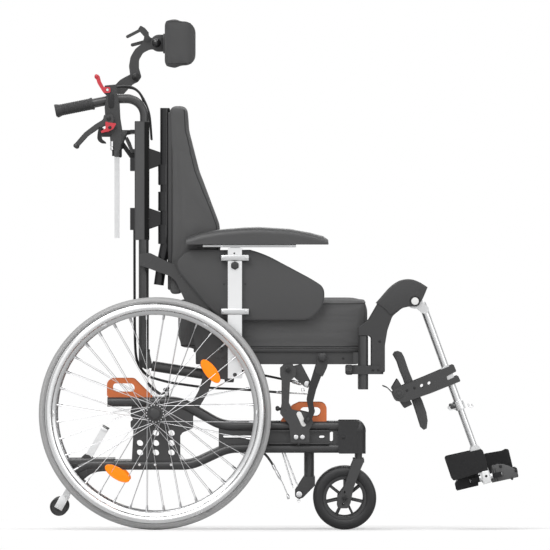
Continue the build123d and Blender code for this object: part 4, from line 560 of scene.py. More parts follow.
def add_plate(shape, outline, lane, thickness, edge=0.0, corners=()):
    """Adds a flat board in the side plane; corners gives (point number, radius) pairs to round."""
    ring = [shape.verts.new((x, -lane, z)) for x, z in outline]
    face = shape.faces.new(ring)
    radii = {}
    for number, radius in corners:
        radii.setdefault(radius, []).append(ring[number])
    for radius, chosen in radii.items():
        bmesh.ops.bevel(shape, geom=chosen, offset=radius, segments=6, profile=0.5, affect="VERTICES", material=-1)
    face = next(f for f in shape.faces if f.is_valid and all(abs(v.co.y + lane) < 1e-7 for v in f.verts)
                and not any(len(e.link_faces) > 1 for e in f.edges))
    near = list(face.verts)
    slab = bmesh.ops.extrude_face_region(shape, geom=[face], use_keep_orig=True)
    far = [v for v in slab["geom"] if isinstance(v, bmesh.types.BMVert)]
    bmesh.ops.translate(shape, vec=(0, -thickness, 0), verts=far)
    if edge:
        rims = {e for group in (near, far) for v in group for e in v.link_edges
                if all(w in group for w in e.verts)}
        bmesh.ops.bevel(shape, geom=list(rims), offset=edge, segments=3, profile=0.5, affect="EDGES", material=-1)


roller_plates = bmesh.new()
add_plate(roller_plates, [(-0.5515, 0.0815), (-0.5710, 0.0925), (-0.5890, 0.0600), (-0.5695, 0.0490)], 0.2348,
          0.0022, 0.0004)
both_sides("roller_plates", roller_plates, "antitip_bar", satin_aluminium)
antitip_screws = bmesh.new()
for mark in [(-0.5805, 0.0595), (-0.5735, 0.0555)]:
    add_drum(antitip_screws, mark, 0.2370, 0.0010, 0.0016, 16, 0.0003)
both_sides("antitip_screws", antitip_screws, "antitip_bar", zinc)
sleeve_end = (-0.5345, 0.1645)
rear_sleeves = bmesh.new()
add_plate(rear_sleeves, [(-0.5585, 0.1810), (-0.5520, 0.1860), (-0.4315, 0.1870), (-0.4315, 0.1540), (-0.4625, 0.1530),
                         (-0.4755, 0.1515), (-0.4850, 0.1485), (-0.4940, 0.1450), (-0.5005, 0.1405), (-0.5145, 0.1290),
                         (-0.5220, 0.1325), (-0.5415, 0.1565)],
          0.2280, 0.0165, 0.0050)
add_drum(rear_sleeves, sleeve_end, 0.2445, 0.0012, 0.0105, 32, 0.0005)
both_sides("rear_sleeves", rear_sleeves, "chassis", powder_black)
sleeve_plugs = bmesh.new()
add_drum(sleeve_plugs, sleeve_end, 0.2457, 0.0010, 0.0085, 32, 0.0004)
both_sides("sleeve_plugs", sleeve_plugs, "chassis", screw_black)
bar_ends = bmesh.new()
bar_caps = bmesh.new()
bar_turn = Matrix.Rotation(-math.atan2(0.190, 0.1105), 4, "Y")
for shape, along, length, width in [(bar_ends, 0.0035, 0.0100, 0.0178), (bar_caps, 0.0095, 0.0030, 0.0186)]:
    add_block(shape, Matrix.Translation((-0.4600, -0.2060, 0.2590)) @ bar_turn @ Matrix.Translation((along, 0, 0)),
              (length, 0.0130, width), 0.0007)
both_sides("antitip_bar_ends", bar_ends, "antitip_bar", satin_aluminium)
both_sides("antitip_caps", bar_caps, "antitip_bar", moulded_black)

# ---- parking levers ----
# Flat steel levers that turn on the tilt carriages, painted black. Each has a moulded sleeve and a
# black ball knob screwed on its end.
dress(housing_black, "parking_lever")
lever_knobs = bmesh.new()
add_turning(lever_knobs, [(0.0001, 0.2800), (0.0060, 0.2796), (0.0098, 0.2776), (0.0115, 0.2745), (0.0118, 0.2710),
                          (0.0104, 0.2670), (0.0070, 0.2642), (0.0001, 0.2640)], (0.1145, 0.4525), 40)
both_sides("lever_knobs", lever_knobs, "parking_lever", moulded_black)
lever_sleeves = bmesh.new()
add_plate(lever_sleeves, [(0.1005, 0.4635), (0.1260, 0.4650), (0.1310, 0.4330), (0.1155, 0.4010), (0.0950, 0.4130),
                          (0.1000, 0.4395)],
          0.2568, 0.0084, 0.0018, [(0, 0.010), (1, 0.010), (2, 0.012), (3, 0.003), (4, 0.003)])
both_sides("lever_sleeves", lever_sleeves, "parking_lever", moulded_black)

# ---- seat frame ----
# Welded steel rails with cross tubes and a thin pan, powder-coated black. Black bolts hold the back
# hinge and the armrest posts, and plated pins the brackets under the rails.
dress(powder_black, "seat_frame", "recline_plates")
seat_bolts = bmesh.new()
add_bolt(seat_bolts, (-0.1540, 0.4735), 0.2190, 0.0062)
add_bolt(seat_bolts, (-0.1145, 0.4065), 0.2450, 0.0040)
both_sides("seat_bolts", seat_bolts, "seat", powder_black)
rail_screws = bmesh.new()
add_cap(rail_screws, (0.1700, 0.4500), 0.1950, 0.0012, 0.0034, 24, 0.0005, 0.0016, 0.0003)
both_sides("rail_screws", rail_screws, "seat", screw_black)
bracket_pins = bmesh.new()
add_cap(bracket_pins, (0.0750, 0.3825), 0.2345, 0.0040, 0.0078, 28, 0.0012, 0.0034, 0.0006)
both_sides("bracket_pins", bracket_pins, "seat", zinc)
pin_rings = bmesh.new()
add_turning(pin_rings, wire_ring(0.0040, 0.2392, 0.0007), (0.0645, 0.3655), 28)
both_sides("pin_rings", pin_rings, "seat", zinc)

# ---- seat cushion ----
# Moulded foam in a knitted stretch cover, which the foam fills out slightly; its edges are
# top-stitched. It lies on a black board, and its seams are lines of thread on the finished cover.
weave, weave_in, weave_out = socket_group(
    "knitted_weave", [("Color", "Color", (0.1, 0.1, 0.1, 1)), ("Pitch", "Float", 0.0012), ("Depth", "Float", 0.0002)],
    [("Color", "Color"), ("Normal", "Vector")])
weave_place = weave.nodes.new("ShaderNodeTexCoord").outputs["Object"]
turns = math_node(weave, "DIVIDE", math.tau, weave_in.outputs["Pitch"])
stretched = weave.nodes.new("ShaderNodeVectorMath")
stretched.operation = "SCALE"
weave.links.new(weave_place, stretched.inputs[0])
weave.links.new(turns, stretched.inputs["Scale"])
strands = weave.nodes.new("ShaderNodeSeparateXYZ")
weave.links.new(stretched.outputs[0], strands.inputs[0])
waves = [math_node(weave, "SINE", strands.outputs[axis]) for axis in "XYZ"]
crossings = [math_node(weave, "MULTIPLY", waves[a], waves[b]) for a, b in ((0, 1), (1, 2), (2, 0))]
knit = math_node(weave, "ADD", math_node(weave, "ADD", crossings[0], crossings[1]), crossings[2])
knit_bump = weave.nodes.new("ShaderNodeBump")
knit_bump.inputs["Strength"].default_value = 0.6
weave.links.new(knit, knit_bump.inputs["Height"])
weave.links.new(weave_in.outputs["Depth"], knit_bump.inputs["Distance"])
weave.links.new(knit_bump.outputs["Normal"], weave_out.inputs["Normal"])
shades = weave.nodes.new("ShaderNodeTexNoise")
shades.inputs["Scale"].default_value = 7.0
shades.inputs["Detail"].default_value = 5.0
weave.links.new(weave_place, shades.inputs["Vector"])
shade = math_node(weave, "ADD", math_node(weave, "MULTIPLY", shades.outputs["Fac"], 0.22),
                  math_node(weave, "MULTIPLY", knit, 0.05))
cloth_tone = weave.nodes.new("ShaderNodeVectorMath")
cloth_tone.operation = "SCALE"
weave.links.new(weave_in.outputs["Color"], cloth_tone.inputs[0])
weave.links.new(math_node(weave, "ADD", shade, 0.89), cloth_tone.inputs["Scale"])
weave.links.new(cloth_tone.outputs[0], weave_out.inputs["Color"])


def cover_cloth(name, colour, pitch=0.0013, depth=0.00022):
    """A knitted cover: dull, with a soft sheen at grazing angles."""
    material = bpy.data.materials.new(name)
    material.use_nodes = True
    tree = material.node_tree
    shader = tree.nodes["Principled BSDF"]
    knitted = tree.nodes.new("ShaderNodeGroup")
    knitted.node_tree = weave
    knitted.inputs["Color"].default_value = (*colour, 1)
    knitted.inputs["Pitch"].default_value = pitch
    knitted.inputs["Depth"].default_value = depth
    tree.links.new(knitted.outputs["Color"], shader.inputs["Base Color"])
    tree.links.new(knitted.outputs["Normal"], shader.inputs["Normal"])
    shader.inputs["Roughness"].default_value = 0.88
    shader.inputs["Specular IOR Level"].default_value = 0.25
    shader.inputs["Sheen Weight"].default_value = 0.12
    shader.inputs["Sheen Roughness"].default_value = 0.5
    return material


def settle(padding):
    """Replaces an object's mesh by what its modifiers make of it, and removes them."""
    bpy.context.view_layer.update()
    made = bpy.data.meshes.new_from_object(padding.evaluated_get(bpy.context.evaluated_depsgraph_get()))
    padding.modifiers.clear()
    padding.data = made


foam_pressure = 2.2
blown_frames = 20


def upholster(name, node, body, material, voxel, inset, cap, cut=None, seat_level=None):
    """Foam in a cover: the CAD cushion, drawn in a little and blown up by cloth pressure.
    cut is a plane (point, normal) past which the node is left out; seat_level is a height it rests on."""
    shape = bmesh.new()
    shape.from_mesh(frame["nodes"][node].data)
    bmesh.ops.remove_doubles(shape, verts=shape.verts, dist=0.0002)
    if cut:
        bmesh.ops.bisect_plane(shape, geom=shape.verts[:] + shape.edges[:] + shape.faces[:], plane_co=cut[0],
                               plane_no=cut[1], clear_outer=True)
        bmesh.ops.holes_fill(shape, edges=[e for e in shape.edges if e.is_boundary])
    bmesh.ops.recalc_face_normals(shape, faces=shape.faces)
    mesh = bpy.data.meshes.new(name)
    shape.to_mesh(mesh)
    shape.free()
    padding = bpy.data.objects.new(name, mesh)
    bpy.context.collection.objects.link(padding)
    grid = padding.modifiers.new("voxels", "REMESH")
    grid.mode = "VOXEL"
    grid.voxel_size = voxel
    settle(padding)
    normals = [vertex.normal.copy() for vertex in padding.data.vertices]
    for vertex, normal in zip(padding.data.vertices, normals):
        vertex.co -= normal * inset
    start = [vertex.co.copy() for vertex in padding.data.vertices]
    blown = padding.modifiers.new("cloth", "CLOTH")
    blown.settings.quality = 4
    blown.settings.use_pressure = True
    blown.settings.uniform_pressure_force = foam_pressure
    blown.settings.effector_weights.gravity = 0.0
    blown.point_cache.frame_start = 1
    blown.point_cache.frame_end = blown_frames
    for moment in range(1, blown_frames + 1):
        bpy.context.scene.frame_set(moment)
    settle(padding)
    bpy.context.scene.frame_set(1)
    for vertex, old in zip(padding.data.vertices, start):
        move = vertex.co - old
        if move.length > cap:
            vertex.co = old + move.normalized() * cap
    shape = bmesh.new()
    shape.from_mesh(padding.data)
    bmesh.ops.smooth_vert(shape, verts=shape.verts, factor=0.5, use_axis_x=True, use_axis_y=True, use_axis_z=True)
    if seat_level:
        for vertex in shape.verts:
            vertex.co.z = max(vertex.co.z, seat_level)
    shape.to_mesh(padding.data)
    shape.free()
    padding.data.shade_smooth()
    padding.data.materials.clear()
    padding.data.materials.append(material)
    finer = padding.modifiers.new("finer", "SUBSURF")
    finer.levels = 1
    finer.render_levels = 1
    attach(padding, body)
    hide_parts(node)
    return padding


def stitch(name, padding, corners, body, material, radius=0.0012, step=0.012, closed=True):
    """A line of thread or piping laid on a cushion's surface, through these corner points."""
    surface = BVHTree.FromObject(padding, bpy.context.evaluated_depsgraph_get())
    legs = list(zip(corners, corners[1:] + corners[:1])) if closed else list(zip(corners, corners[1:]))
    route = []
    for start, end in legs:
        count = max(2, round((Vector(end) - Vector(start)).length / step))
        route += [Vector(start).lerp(Vector(end), number / count) for number in range(count)]
    if not closed:
        route.append(Vector(corners[-1]))
    thread = bpy.data.curves.new(name, "CURVE")
    thread.dimensions = "3D"
    thread.bevel_depth = radius
    thread.bevel_resolution = 2
    line = thread.splines.new("POLY")
    line.points.add(len(route) - 1)
    for point, place in zip(line.points, route):
        point.co = (*surface.find_nearest(place)[0], 1.0)
    line.use_cyclic_u = closed
    thread.materials.append(material)
    made = bpy.data.objects.new(name, thread)
    bpy.context.collection.objects.link(made)
    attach(made, body)
    return made


cover_grey = cover_cloth("cover_grey", (0.108, 0.108, 0.109))
seam_thread = cover_cloth("seam_thread", (0.030, 0.030, 0.031), 0.0008, 0.0001)
seat_low, seat_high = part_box("seat_cushion")
seat_cushion = upholster("seat_cushion_cover", "seat_cushion", "seat", cover_grey, 0.006, 0.0015, 0.0030,
                         seat_level=seat_low.z)
for row, height in [("top", seat_high.z - 0.010), ("base", seat_low.z + 0.010)]:
    rear_row = seat_low.x + (0.0 if row == "top" else 0.002)
    stitch("seat_seam_" + row, seat_cushion,
           [(rear_row, seat_low.y, height), (seat_high.x, seat_low.y, height), (seat_high.x, seat_high.y, height),
            (rear_row, seat_high.y, height)], "seat", seam_thread)
# a black board under the foam carries the cover's hook-and-loop tapes
seat_board = bmesh.new()
add_block(seat_board, Matrix.Translation(((seat_low.x + seat_high.x) / 2 + 0.018, 0, seat_low.z - 0.0004)),
          (seat_high.x - seat_low.x - 0.042, seat_high.y - seat_low.y - 0.006, 0.0100), 0.0020, 3)
piece("seat_board", seat_board, "seat", moulded_black)

# ---- armrests and side panels ----
# Flat anodised aluminium posts; padded boards in grey vinyl with a black edge strip, held by
# brushed aluminium clamps; integral-skin foam arm pads on a channel with small plated screws.
dress(satin_aluminium, "armrest_posts")
post_lane = 0.245
post_marks = bmesh.new()
for mark in [(-0.1160, 0.7255), (-0.1145, 0.4065)]:
    add_drum(post_marks, mark, post_lane, 0.0008, 0.0024, 16)
both_sides("post_marks", post_marks, "seat", moulded_black)

panel_vinyl = finish("panel_vinyl", (0.073, 0.073, 0.074), 0.62, spread=0.10, patch=6.0, grain_size=1300.0,
                     depth=0.00025, Specular_IOR_Level=0.35)
panel_outline = [(-0.2410, 0.7320), (-0.0750, 0.7320), (-0.0435, 0.7240), (0.0885, 0.6555), (0.1160, 0.6370),
                 (0.1185, 0.6080), (0.1095, 0.5790), (0.0775, 0.5525), (-0.1410, 0.5525), (-0.1805, 0.5845),
                 (-0.2595, 0.6765), (-0.2690, 0.7030)]
panel_corners = [(0, 0.016), (2, 0.030), (3, 0.020), (4, 0.012), (5, 0.012), (6, 0.016), (7, 0.014), (8, 0.014),
                 (9, 0.024), (10, 0.008), (11, 0.010)]
panel = bmesh.new()
add_plate(panel, panel_outline, 0.2190, 0.0080, 0.0022, panel_corners)
panels = both_sides("side_board", panel, "seat", panel_vinyl, 50.0)
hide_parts("side_panels")

edge_strip = bmesh.new()
add_plate(edge_strip, panel_outline, 0.2196, 0.0068, 0.0, panel_corners)
strip_middle = Vector((-0.075, 0, 0.640))
for vertex in edge_strip.verts:
    away = Vector((vertex.co.x - strip_middle.x, 0, vertex.co.z - strip_middle.z)).normalized()
    vertex.co += away * 0.0030
both_sides("edge_strip", edge_strip, "seat", moulded_black)

panel_clamps = bmesh.new()
for row in (0.7135, 0.5725):
    add_block(panel_clamps, Matrix.Translation((-0.1145, -0.2382, row)), (0.0740, 0.0200, 0.0160), 0.0026, 3)
    for column in (-0.1450, -0.0845):
        add_drum(panel_clamps, (column, row), 0.2480, 0.0014, 0.0034, 20, 0.0005)
clamp_aluminium = finish("clamp_aluminium", (0.62, 0.625, 0.63), 0.36, **drawn_grain, Metallic=1.0)
both_sides("panel_clamps", panel_clamps, "seat", clamp_aluminium)

height_knobs = bmesh.new()
add_drum(height_knobs, (-0.1145, 0.6935), post_lane, 0.0060, 0.0060, 24, 0.0008)
knob = bmesh.ops.create_cone(height_knobs, cap_ends=True, segments=6, radius1=0.0118, radius2=0.0105, depth=0.0100,
                             matrix=Matrix.Translation((-0.1145, -post_lane - 0.0110, 0.6935))
                             @ Matrix.Rotation(math.radians(90), 4, "X"))
bmesh.ops.bevel(height_knobs, geom=list({e for v in knob["verts"] for e in v.link_edges}), offset=0.0016, segments=3,
                profile=0.5, affect="EDGES", material=-1)
both_sides("height_knobs", height_knobs, "seat", moulded_black)
panel_screws = bmesh.new()
for mark in [(-0.1435, 0.6450), (-0.0870, 0.6450)]:
    add_drum(panel_screws, mark, 0.2270, 0.0008, 0.0030, 20, 0.0004)
both_sides("panel_screws", panel_screws, "seat", moulded_black)

arm_foam = finish("arm_foam", (0.074, 0.074, 0.075), 0.36, spread=0.10, patch=10.0, grain_size=1600.0, depth=0.0002,
                  Specular_IOR_Level=0.35)
pad_low, pad_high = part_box("armrest_pad_right")
pad_middle = 0.237
pad_outline = [(pad_low.x, 0.7490), (-0.2410, 0.7660), (-0.2070, 0.7795), (-0.1540, 0.7885), (-0.0885, 0.7940),
               (-0.0485, 0.7950), (0.0305, 0.7900), (0.0830, 0.7805), (0.1175, 0.7715), (0.1305, 0.7610),
               (pad_high.x, 0.7490)]
arm_pad = bmesh.new()
add_plate(arm_pad, pad_outline, pad_middle - 0.025, 0.0500)
pad_rims = [e for e in arm_pad.edges if abs(e.verts[0].co.y - e.verts[1].co.y) < 1e-6]
upper_rims = [e for e in pad_rims if all(v.co.z > 0.7505 for v in e.verts)]
bmesh.ops.bevel(arm_pad, geom=upper_rims, offset=0.0190, segments=8, profile=0.5, affect="EDGES", material=-1)
pad_rims = [e for e in arm_pad.edges if abs(e.verts[0].co.y - e.verts[1].co.y) < 1e-6]
lower_rims = [e for e in pad_rims if all(v.co.z < 0.7495 for v in e.verts)]
bmesh.ops.bevel(arm_pad, geom=lower_rims, offset=0.0050, segments=4, profile=0.5, affect="EDGES", material=-1)
for made in both_sides("arm_pad", arm_pad, "armrest_pad", arm_foam, 50.0, replaced="armrest_pad"):
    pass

arm_channel = bmesh.new()
add_block(arm_channel, Matrix.Translation((-0.0765, -pad_middle, 0.7452)), (0.2450, 0.0300, 0.0066), 0.0010)
add_block(arm_channel, Matrix.Translation((-0.1145, -pad_middle, 0.6680)), (0.0240, 0.0080, 0.1500))
both_sides("arm_channel", arm_channel, "armrest_pad", clamp_aluminium)
channel_screws = bmesh.new()
for mark in [(-0.1490, 0.7450), (0.0330, 0.7450)]:
    add_drum(channel_screws, mark, pad_middle + 0.0150, 0.0010, 0.0030, 20, 0.0004)
both_sides("channel_screws", channel_screws, "armrest_pad", zinc)

# ---- back frame ----
# Black powder-coated steel: flat outer posts, round inner rails, cross members and the two
# push-handle bends, with a moulded boot at each post's foot. On each post's flat face a lighter
# grey-black plate is painted light, and a near-black strip along its rolled edge is painted shade.
dress(powder_black, "back_posts")
tube_black = finish("tube_black", (0.012, 0.012, 0.013), 0.26, patch=7.0, grain_size=1400.0, depth=0.00003,
                    Specular_IOR_Level=0.45)
dress(tube_black, "back_frame")
face_plates = bmesh.new()
face_strip = [(-0.3750, 0.7620), (-0.3535, 0.7620), (-0.3535, 1.0705), (-0.3750, 1.0705)]
add_plate(face_plates, face_strip, 0.1960, 0.0006, 0.0, [(2, 0.003), (3, 0.003)])
# the lighter grey-black of this face plate is painted light on the post's flat face
post_face_painted_light = finish("post_face_painted_light", (0.066, 0.066, 0.067), 0.42, spread=0.10, patch=4.0, grain_size=1400.0, depth=0.00008)
both_sides("post_faces", face_plates, "back", post_face_painted_light)
# the near-black of this edge strip is painted shade, where the rolled edge turns away from the light
post_edges = bmesh.new()
add_plate(post_edges, [(-0.3520, 1.0705), (-0.3410, 1.0705), (-0.3410, 0.7620), (-0.3520, 0.7620)], 0.1960,
          0.0010, 0.0003)
post_edge_painted_shade = finish("post_edge_painted_shade", (0.006, 0.006, 0.006), 0.5, spread=0.1, patch=9.0, Specular_IOR_Level=0.12)
both_sides("post_edges", post_edges, "back", post_edge_painted_shade)


def add_lathe(shape, base, axis, profile, steps=40):
    """Adds a body turned about an axis from base; profile is (distance along, radius) pairs."""
    axis = Vector(axis).normalized()
    side = axis.orthogonal().normalized()
    ring = [shape.verts.new(Vector(base) + axis * along + side * radius) for along, radius in profile]
    lines = [shape.edges.new(pair) for pair in zip(ring, ring[1:])]
    bmesh.ops.spin(shape, geom=ring + lines, cent=base, axis=axis, angle=math.tau, steps=steps, use_merge=True,
                   use_duplicate=False)
    bmesh.ops.remove_doubles(shape, verts=shape.verts, dist=0.00001)


boots = bmesh.new()
add_lathe(boots, (-0.3535, -0.183, 0.4245), (0, 0, 1),
          [(0, 0), (0, 0.0118), (0.0012, 0.0132), (0.0090, 0.0134), (0.0240, 0.0138), (0.0465, 0.0138),
           (0.0480, 0.0128), (0.0480, 0)], 32)
both_sides("post_boots", boots, "back", housing_black)

post_screws = bmesh.new()
for mark, size in [((-0.3820, 0.9610), 0.0032), ((-0.3845, 0.8320), 0.0030), ((-0.3845, 0.8055), 0.0030)]:
    add_drum(post_screws, mark, 0.1700, 0.0016, size, 20, 0.0004)
both_sides("post_screws", post_screws, "back", zinc)

# ---- back cushion ----
# One foam moulding with deep side wings, in the same knitted cover; a thin piping runs along the
# front edge of each wing, and a black board stands behind the foam.
back_cushion = upholster("back_cushion_cover", "back_cushion", "back", cover_grey, 0.0065, 0.0015, 0.0028)
wing_edge = [(-0.2475, 1.1100), (-0.2440, 1.0500), (-0.2170, 0.9440), (-0.1620, 0.8010), (-0.1585, 0.7360),
             (-0.1760, 0.7030)]
for side, lane in (("right", -0.2050), ("left", 0.2050)):
    stitch("wing_piping_" + side, back_cushion, [(x, lane, z) for x, z in wing_edge], "back", seam_thread,
           0.0011, 0.010, False)
# a dark board stands behind the foam, along the cushion's rear edge
back_board = bmesh.new()
add_block(back_board, Matrix.Translation((-0.2850, 0, 0.8635)), (0.0120, 0.3960, 0.4680), 0.0040, 4)
piece("back_board", back_board, "back", moulded_black)

# ---- push grips ----
# Soft black rubber sleeves pushed on the handle tubes, with shallow rings for the fingers and a
# flared end.
grip_rubber = finish("grip_rubber", (0.046, 0.046, 0.047), 0.60, spread=0.12, patch=30.0, grain_size=1500.0,
                     depth=0.0002, Specular_IOR_Level=0.35)
grip_start = Vector((-0.4875, -0.183, 1.1205))
grip_end = Vector((-0.5870, -0.183, 1.1005))
grip_length = (grip_end - grip_start).length
grip_profile = [(0, 0), (0, 0.0138), (0.0010, 0.0147), (0.0055, 0.0147), (0.0072, 0.0136)]
for ring_number in range(15):
    start = 0.0100 + ring_number * 0.0050
    grip_profile += [(start, 0.0139), (start + 0.0008, 0.0131), (start + 0.0020, 0.0131), (start + 0.0028, 0.0139)]
grip_profile += [(0.0885, 0.0138), (grip_length - 0.0060, 0.0162), (grip_length - 0.0014, 0.0164),
                 (grip_length, 0.0150), (grip_length, 0)]
grips = bmesh.new()
add_lathe(grips, grip_start, grip_end - grip_start, grip_profile, 48)
grip_pair = both_sides("grip_sleeve", grips, "back", grip_rubber)
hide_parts("push_grips")

# ---- lever housings ----
# Two-part moulded housings clamped round the handles with a strap; pins carry the levers, and a
# plated adjuster takes the brake cable.
dress(moulded_black, "lever_housings")
straps = bmesh.new()
add_plate(straps, [(-0.4465, 1.1455), (-0.4320, 1.1455), (-0.4320, 1.1070), (-0.4465, 1.1070)], 0.1980, 0.0026, 0.0009,
          [(0, 0.0066), (1, 0.0066), (2, 0.0066), (3, 0.0066)])
both_sides("handle_straps", straps, "back", screw_black)
lever_pins = bmesh.new()
add_drum(lever_pins, (-0.4495, 1.1550), 0.2036, 0.0016, 0.0034, 20, 0.0006)
both_sides("tilt_lever_pins", lever_pins, "back", nylon_white)
dark_pins = bmesh.new()
add_drum(dark_pins, (-0.4455, 1.0795), 0.2096, 0.0018, 0.0060, 24, 0.0008)
add_drum(dark_pins, (-0.4430, 1.0560), 0.2150, 0.0016, 0.0044, 24, 0.0007)
both_sides("lever_pins", dark_pins, "back", screw_black)
adjusters = bmesh.new()
add_lathe(adjusters, (-0.4380, -0.2020, 0.9965), (0, 0, 1),
          [(0, 0), (0, 0.0030), (0.0010, 0.0042), (0.0060, 0.0042), (0.0068, 0.0036), (0.0100, 0.0036),
           (0.0108, 0.0045), (0.0230, 0.0045), (0.0240, 0.0036), (0.0240, 0)], 28)
both_sides("cable_adjusters", adjusters, "back", zinc)
pawls = bmesh.new()
add_plate(pawls, [(-0.4715, 1.0585), (-0.4755, 1.0430), (-0.4765, 1.0245), (-0.4690, 1.0165), (-0.4550, 1.0155),
                  (-0.4565, 1.0205), (-0.4650, 1.0260), (-0.4680, 1.0375), (-0.4650, 1.0480), (-0.4610, 1.0560)],
          0.1984, 0.0044, 0.0010, [(1, 0.010), (2, 0.006), (3, 0.004), (6, 0.003), (7, 0.006)])
add_plate(pawls, [(-0.4665, 1.0440), (-0.4400, 1.0440), (-0.4400, 1.0335), (-0.4665, 1.0335)], 0.1986, 0.0034, 0.0008)
both_sides("brake_pawls", pawls, "back", screw_black)

# ---- hand levers ----
# Red moulded levers, turning on pins in the housings, release the tilt and the recline; the tilt
# lever ends in a ball. The brake lever is a black pressed steel blade.
lever_red = finish("lever_red", (0.60, 0.028, 0.045), 0.34, spread=0.08, patch=30.0, grain_size=900.0,
                   Coat_Weight=0.3, Coat_Roughness=0.15)
dress(lever_red, "tilt_lever", "recline_trigger")
dress(powder_black, "brake_lever")
lever_tips = bmesh.new()
bmesh.ops.create_uvsphere(lever_tips, u_segments=24, v_segments=14, radius=0.0055,
                          matrix=Matrix.Translation((-0.4785, -0.2008, 1.1900)) @ Matrix.Diagonal((0.95, 0.8, 1.2, 1)))
both_sides("tilt_lever_tips", lever_tips, "tilt_lever", lever_red)

# ---- control cables ----
# Steel-wire cables in black sleeves, held at both ends. From each housing they loop over into the
# back post, leave it at its foot and run in a shallow line under the seat.
sleeve_black = finish("sleeve_black", (0.022, 0.022, 0.023), 0.34, spread=0.1, patch=40.0, grain_size=900.0,
                      Specular_IOR_Level=0.5)


def run_cable(name, corners, lane, radius, body, material):
    """A held cable on both sides of the chair: one smooth curve through the side plane."""
    pair = []
    for side, across in (("_right", -lane), ("_left", lane)):
        wire = bpy.data.curves.new(name + side, "CURVE")
        wire.dimensions = "3D"
        wire.bevel_depth = radius
        wire.bevel_resolution = 3
        wire.resolution_u = 8
        wire.use_fill_caps = True
        line = wire.splines.new("NURBS")
        line.points.add(len(corners) - 1)
        for point, corner in zip(line.points, corners):
            point.co = (corner[0], across, corner[1], 1.0)
        line.order_u = 3
        line.use_endpoint_u = True
        wire.materials.append(material)
        made = bpy.data.objects.new(name + side, wire)
        bpy.context.collection.objects.link(made)
        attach(made, body + side if body + side in frame["bodies"] else body)
        pair.append(made)
    return pair


cable_lane = 0.1630
sleeve_radius = 0.0025
loops = run_cable("handle_cable", [(-0.4300, 1.1630), (-0.3965, 1.1680), (-0.3700, 1.1560), (-0.3545, 1.1325),
                                   (-0.3425, 1.1035), (-0.3375, 1.0745), (-0.3345, 1.0245)],
                  0.1652, sleeve_radius, "back", sleeve_black)
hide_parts("back_cables")
run_cable("second_handle_cable", [(-0.4230, 1.1625), (-0.3885, 1.1640), (-0.3690, 1.1520), (-0.3575, 1.1325),
                                  (-0.3520, 1.1085), (-0.3480, 1.0770), (-0.3440, 1.0245)],
          0.1600, 0.0022, "back", sleeve_black)
run_cable("post_cable", [(-0.3795, 0.7870), (-0.3795, 0.6290), (-0.3785, 0.4840), (-0.3740, 0.4420), (-0.3595, 0.4155),
                         (-0.3425, 0.4010)], cable_lane, sleeve_radius, "back", sleeve_black)
rear_run = run_cable("under_seat_cable", [(-0.3385, 0.4000), (-0.2965, 0.3865), (-0.2435, 0.3790), (-0.1860, 0.3710),
                                          (-0.1065, 0.3680), (-0.0435, 0.3630), (0.0065, 0.3590)],
                     cable_lane, sleeve_radius, "seat", sleeve_black)
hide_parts("seat_cables")
run_cable("under_seat_wire", [(0.0045, 0.3592), (0.0400, 0.3572), (0.0775, 0.3550)], cable_lane, 0.0011, "seat", zinc)
run_cable("brake_cable", [(-0.1225, 0.4235), (-0.0750, 0.4105), (-0.0275, 0.4025), (0.0460, 0.3865)], cable_lane,
          sleeve_radius, "seat", sleeve_black)

# ---- fittings of the drop tubes ----
# Below the side frames: the drop tube's plated hitch pin and ring, its two slender return springs,
# and a cable with its threaded adjuster and bare end.
hitch_place = (0.0540, 0.0925)
hitch_pins = bmesh.new()
add_drum(hitch_pins, hitch_place, 0.2190, 0.0260, 0.0079, 28, 0.0010)
add_drum(hitch_pins, hitch_place, 0.2450, 0.0008, 0.0030, 16)
add_turning(hitch_pins, wire_ring(0.0034, 0.2320, 0.0007), (0.0530, 0.0760), 28)
both_sides("hitch_pins", hitch_pins, "chassis", zinc)
for number, (head, foot) in enumerate([((0.0080, 0.2075), (0.0380, 0.1085)), ((0.0135, 0.2075), (0.0500, 0.1135))]):
    run = Vector(foot) - Vector(head)
    aside = Vector((run.y, -run.x)).normalized() * 0.0022
    coils = [Vector(head)] + [Vector(head) + run * (0.06 + 0.86 * step / 56) + aside * (1 if step % 2 else -1)
                              for step in range(57)] + [Vector(foot)]
    run_cable("return_spring_%d" % number, coils, 0.2262 + 0.0050 * number, 0.0009, "chassis", zinc)
run_cable("parking_cable", [(-0.0540, 0.2130), (-0.0380, 0.1995), (-0.0250, 0.1850), (-0.0145, 0.1680)], 0.2320, 0.0022,
          "chassis", sleeve_black)
run_cable("parking_wire", [(0.0055, 0.1310), (0.0160, 0.1100), (0.0250, 0.0865)], 0.2320, 0.0008, "chassis", zinc)
wire_adjusters = bmesh.new()
add_lathe(wire_adjusters, (-0.0155, -0.2320, 0.1695), (0.0220, 0, -0.0400),
          [(0, 0), (0, 0.0030), (0.0030, 0.0034), (0.0120, 0.0034), (0.0130, 0.0026), (0.0200, 0.0026),
           (0.0210, 0.0032), (0.0400, 0.0032), (0.0420, 0.0018), (0.0455, 0.0014), (0.0455, 0)], 20)
add_lathe(wire_adjusters, (0.0235, -0.2320, 0.0905), (0.0040, 0, -0.0120),
          [(0, 0), (0, 0.0024), (0.0020, 0.0032), (0.0090, 0.0032), (0.0110, 0.0024), (0.0110, 0)], 20)
both_sides("cable_adjusters", wire_adjusters, "chassis", zinc)
ferrules = bmesh.new()
add_lathe(ferrules, (0.0360, -cable_lane, 0.3888), (0.0460, 0, -0.0140),
          [(0, 0), (0, 0.0034), (0.0020, 0.0044), (0.0200, 0.0044), (0.0220, 0.0036), (0.0260, 0.0030), (0.0260, 0)],
          24)
add_lathe(ferrules, (-0.0050, -cable_lane, 0.3600), (0.05, 0, -0.0035),
          [(0, 0), (0, 0.0032), (0.0140, 0.0032), (0.0160, 0.0020), (0.0160, 0)], 24)
both_sides("cable_ferrules", ferrules, "seat", zinc)
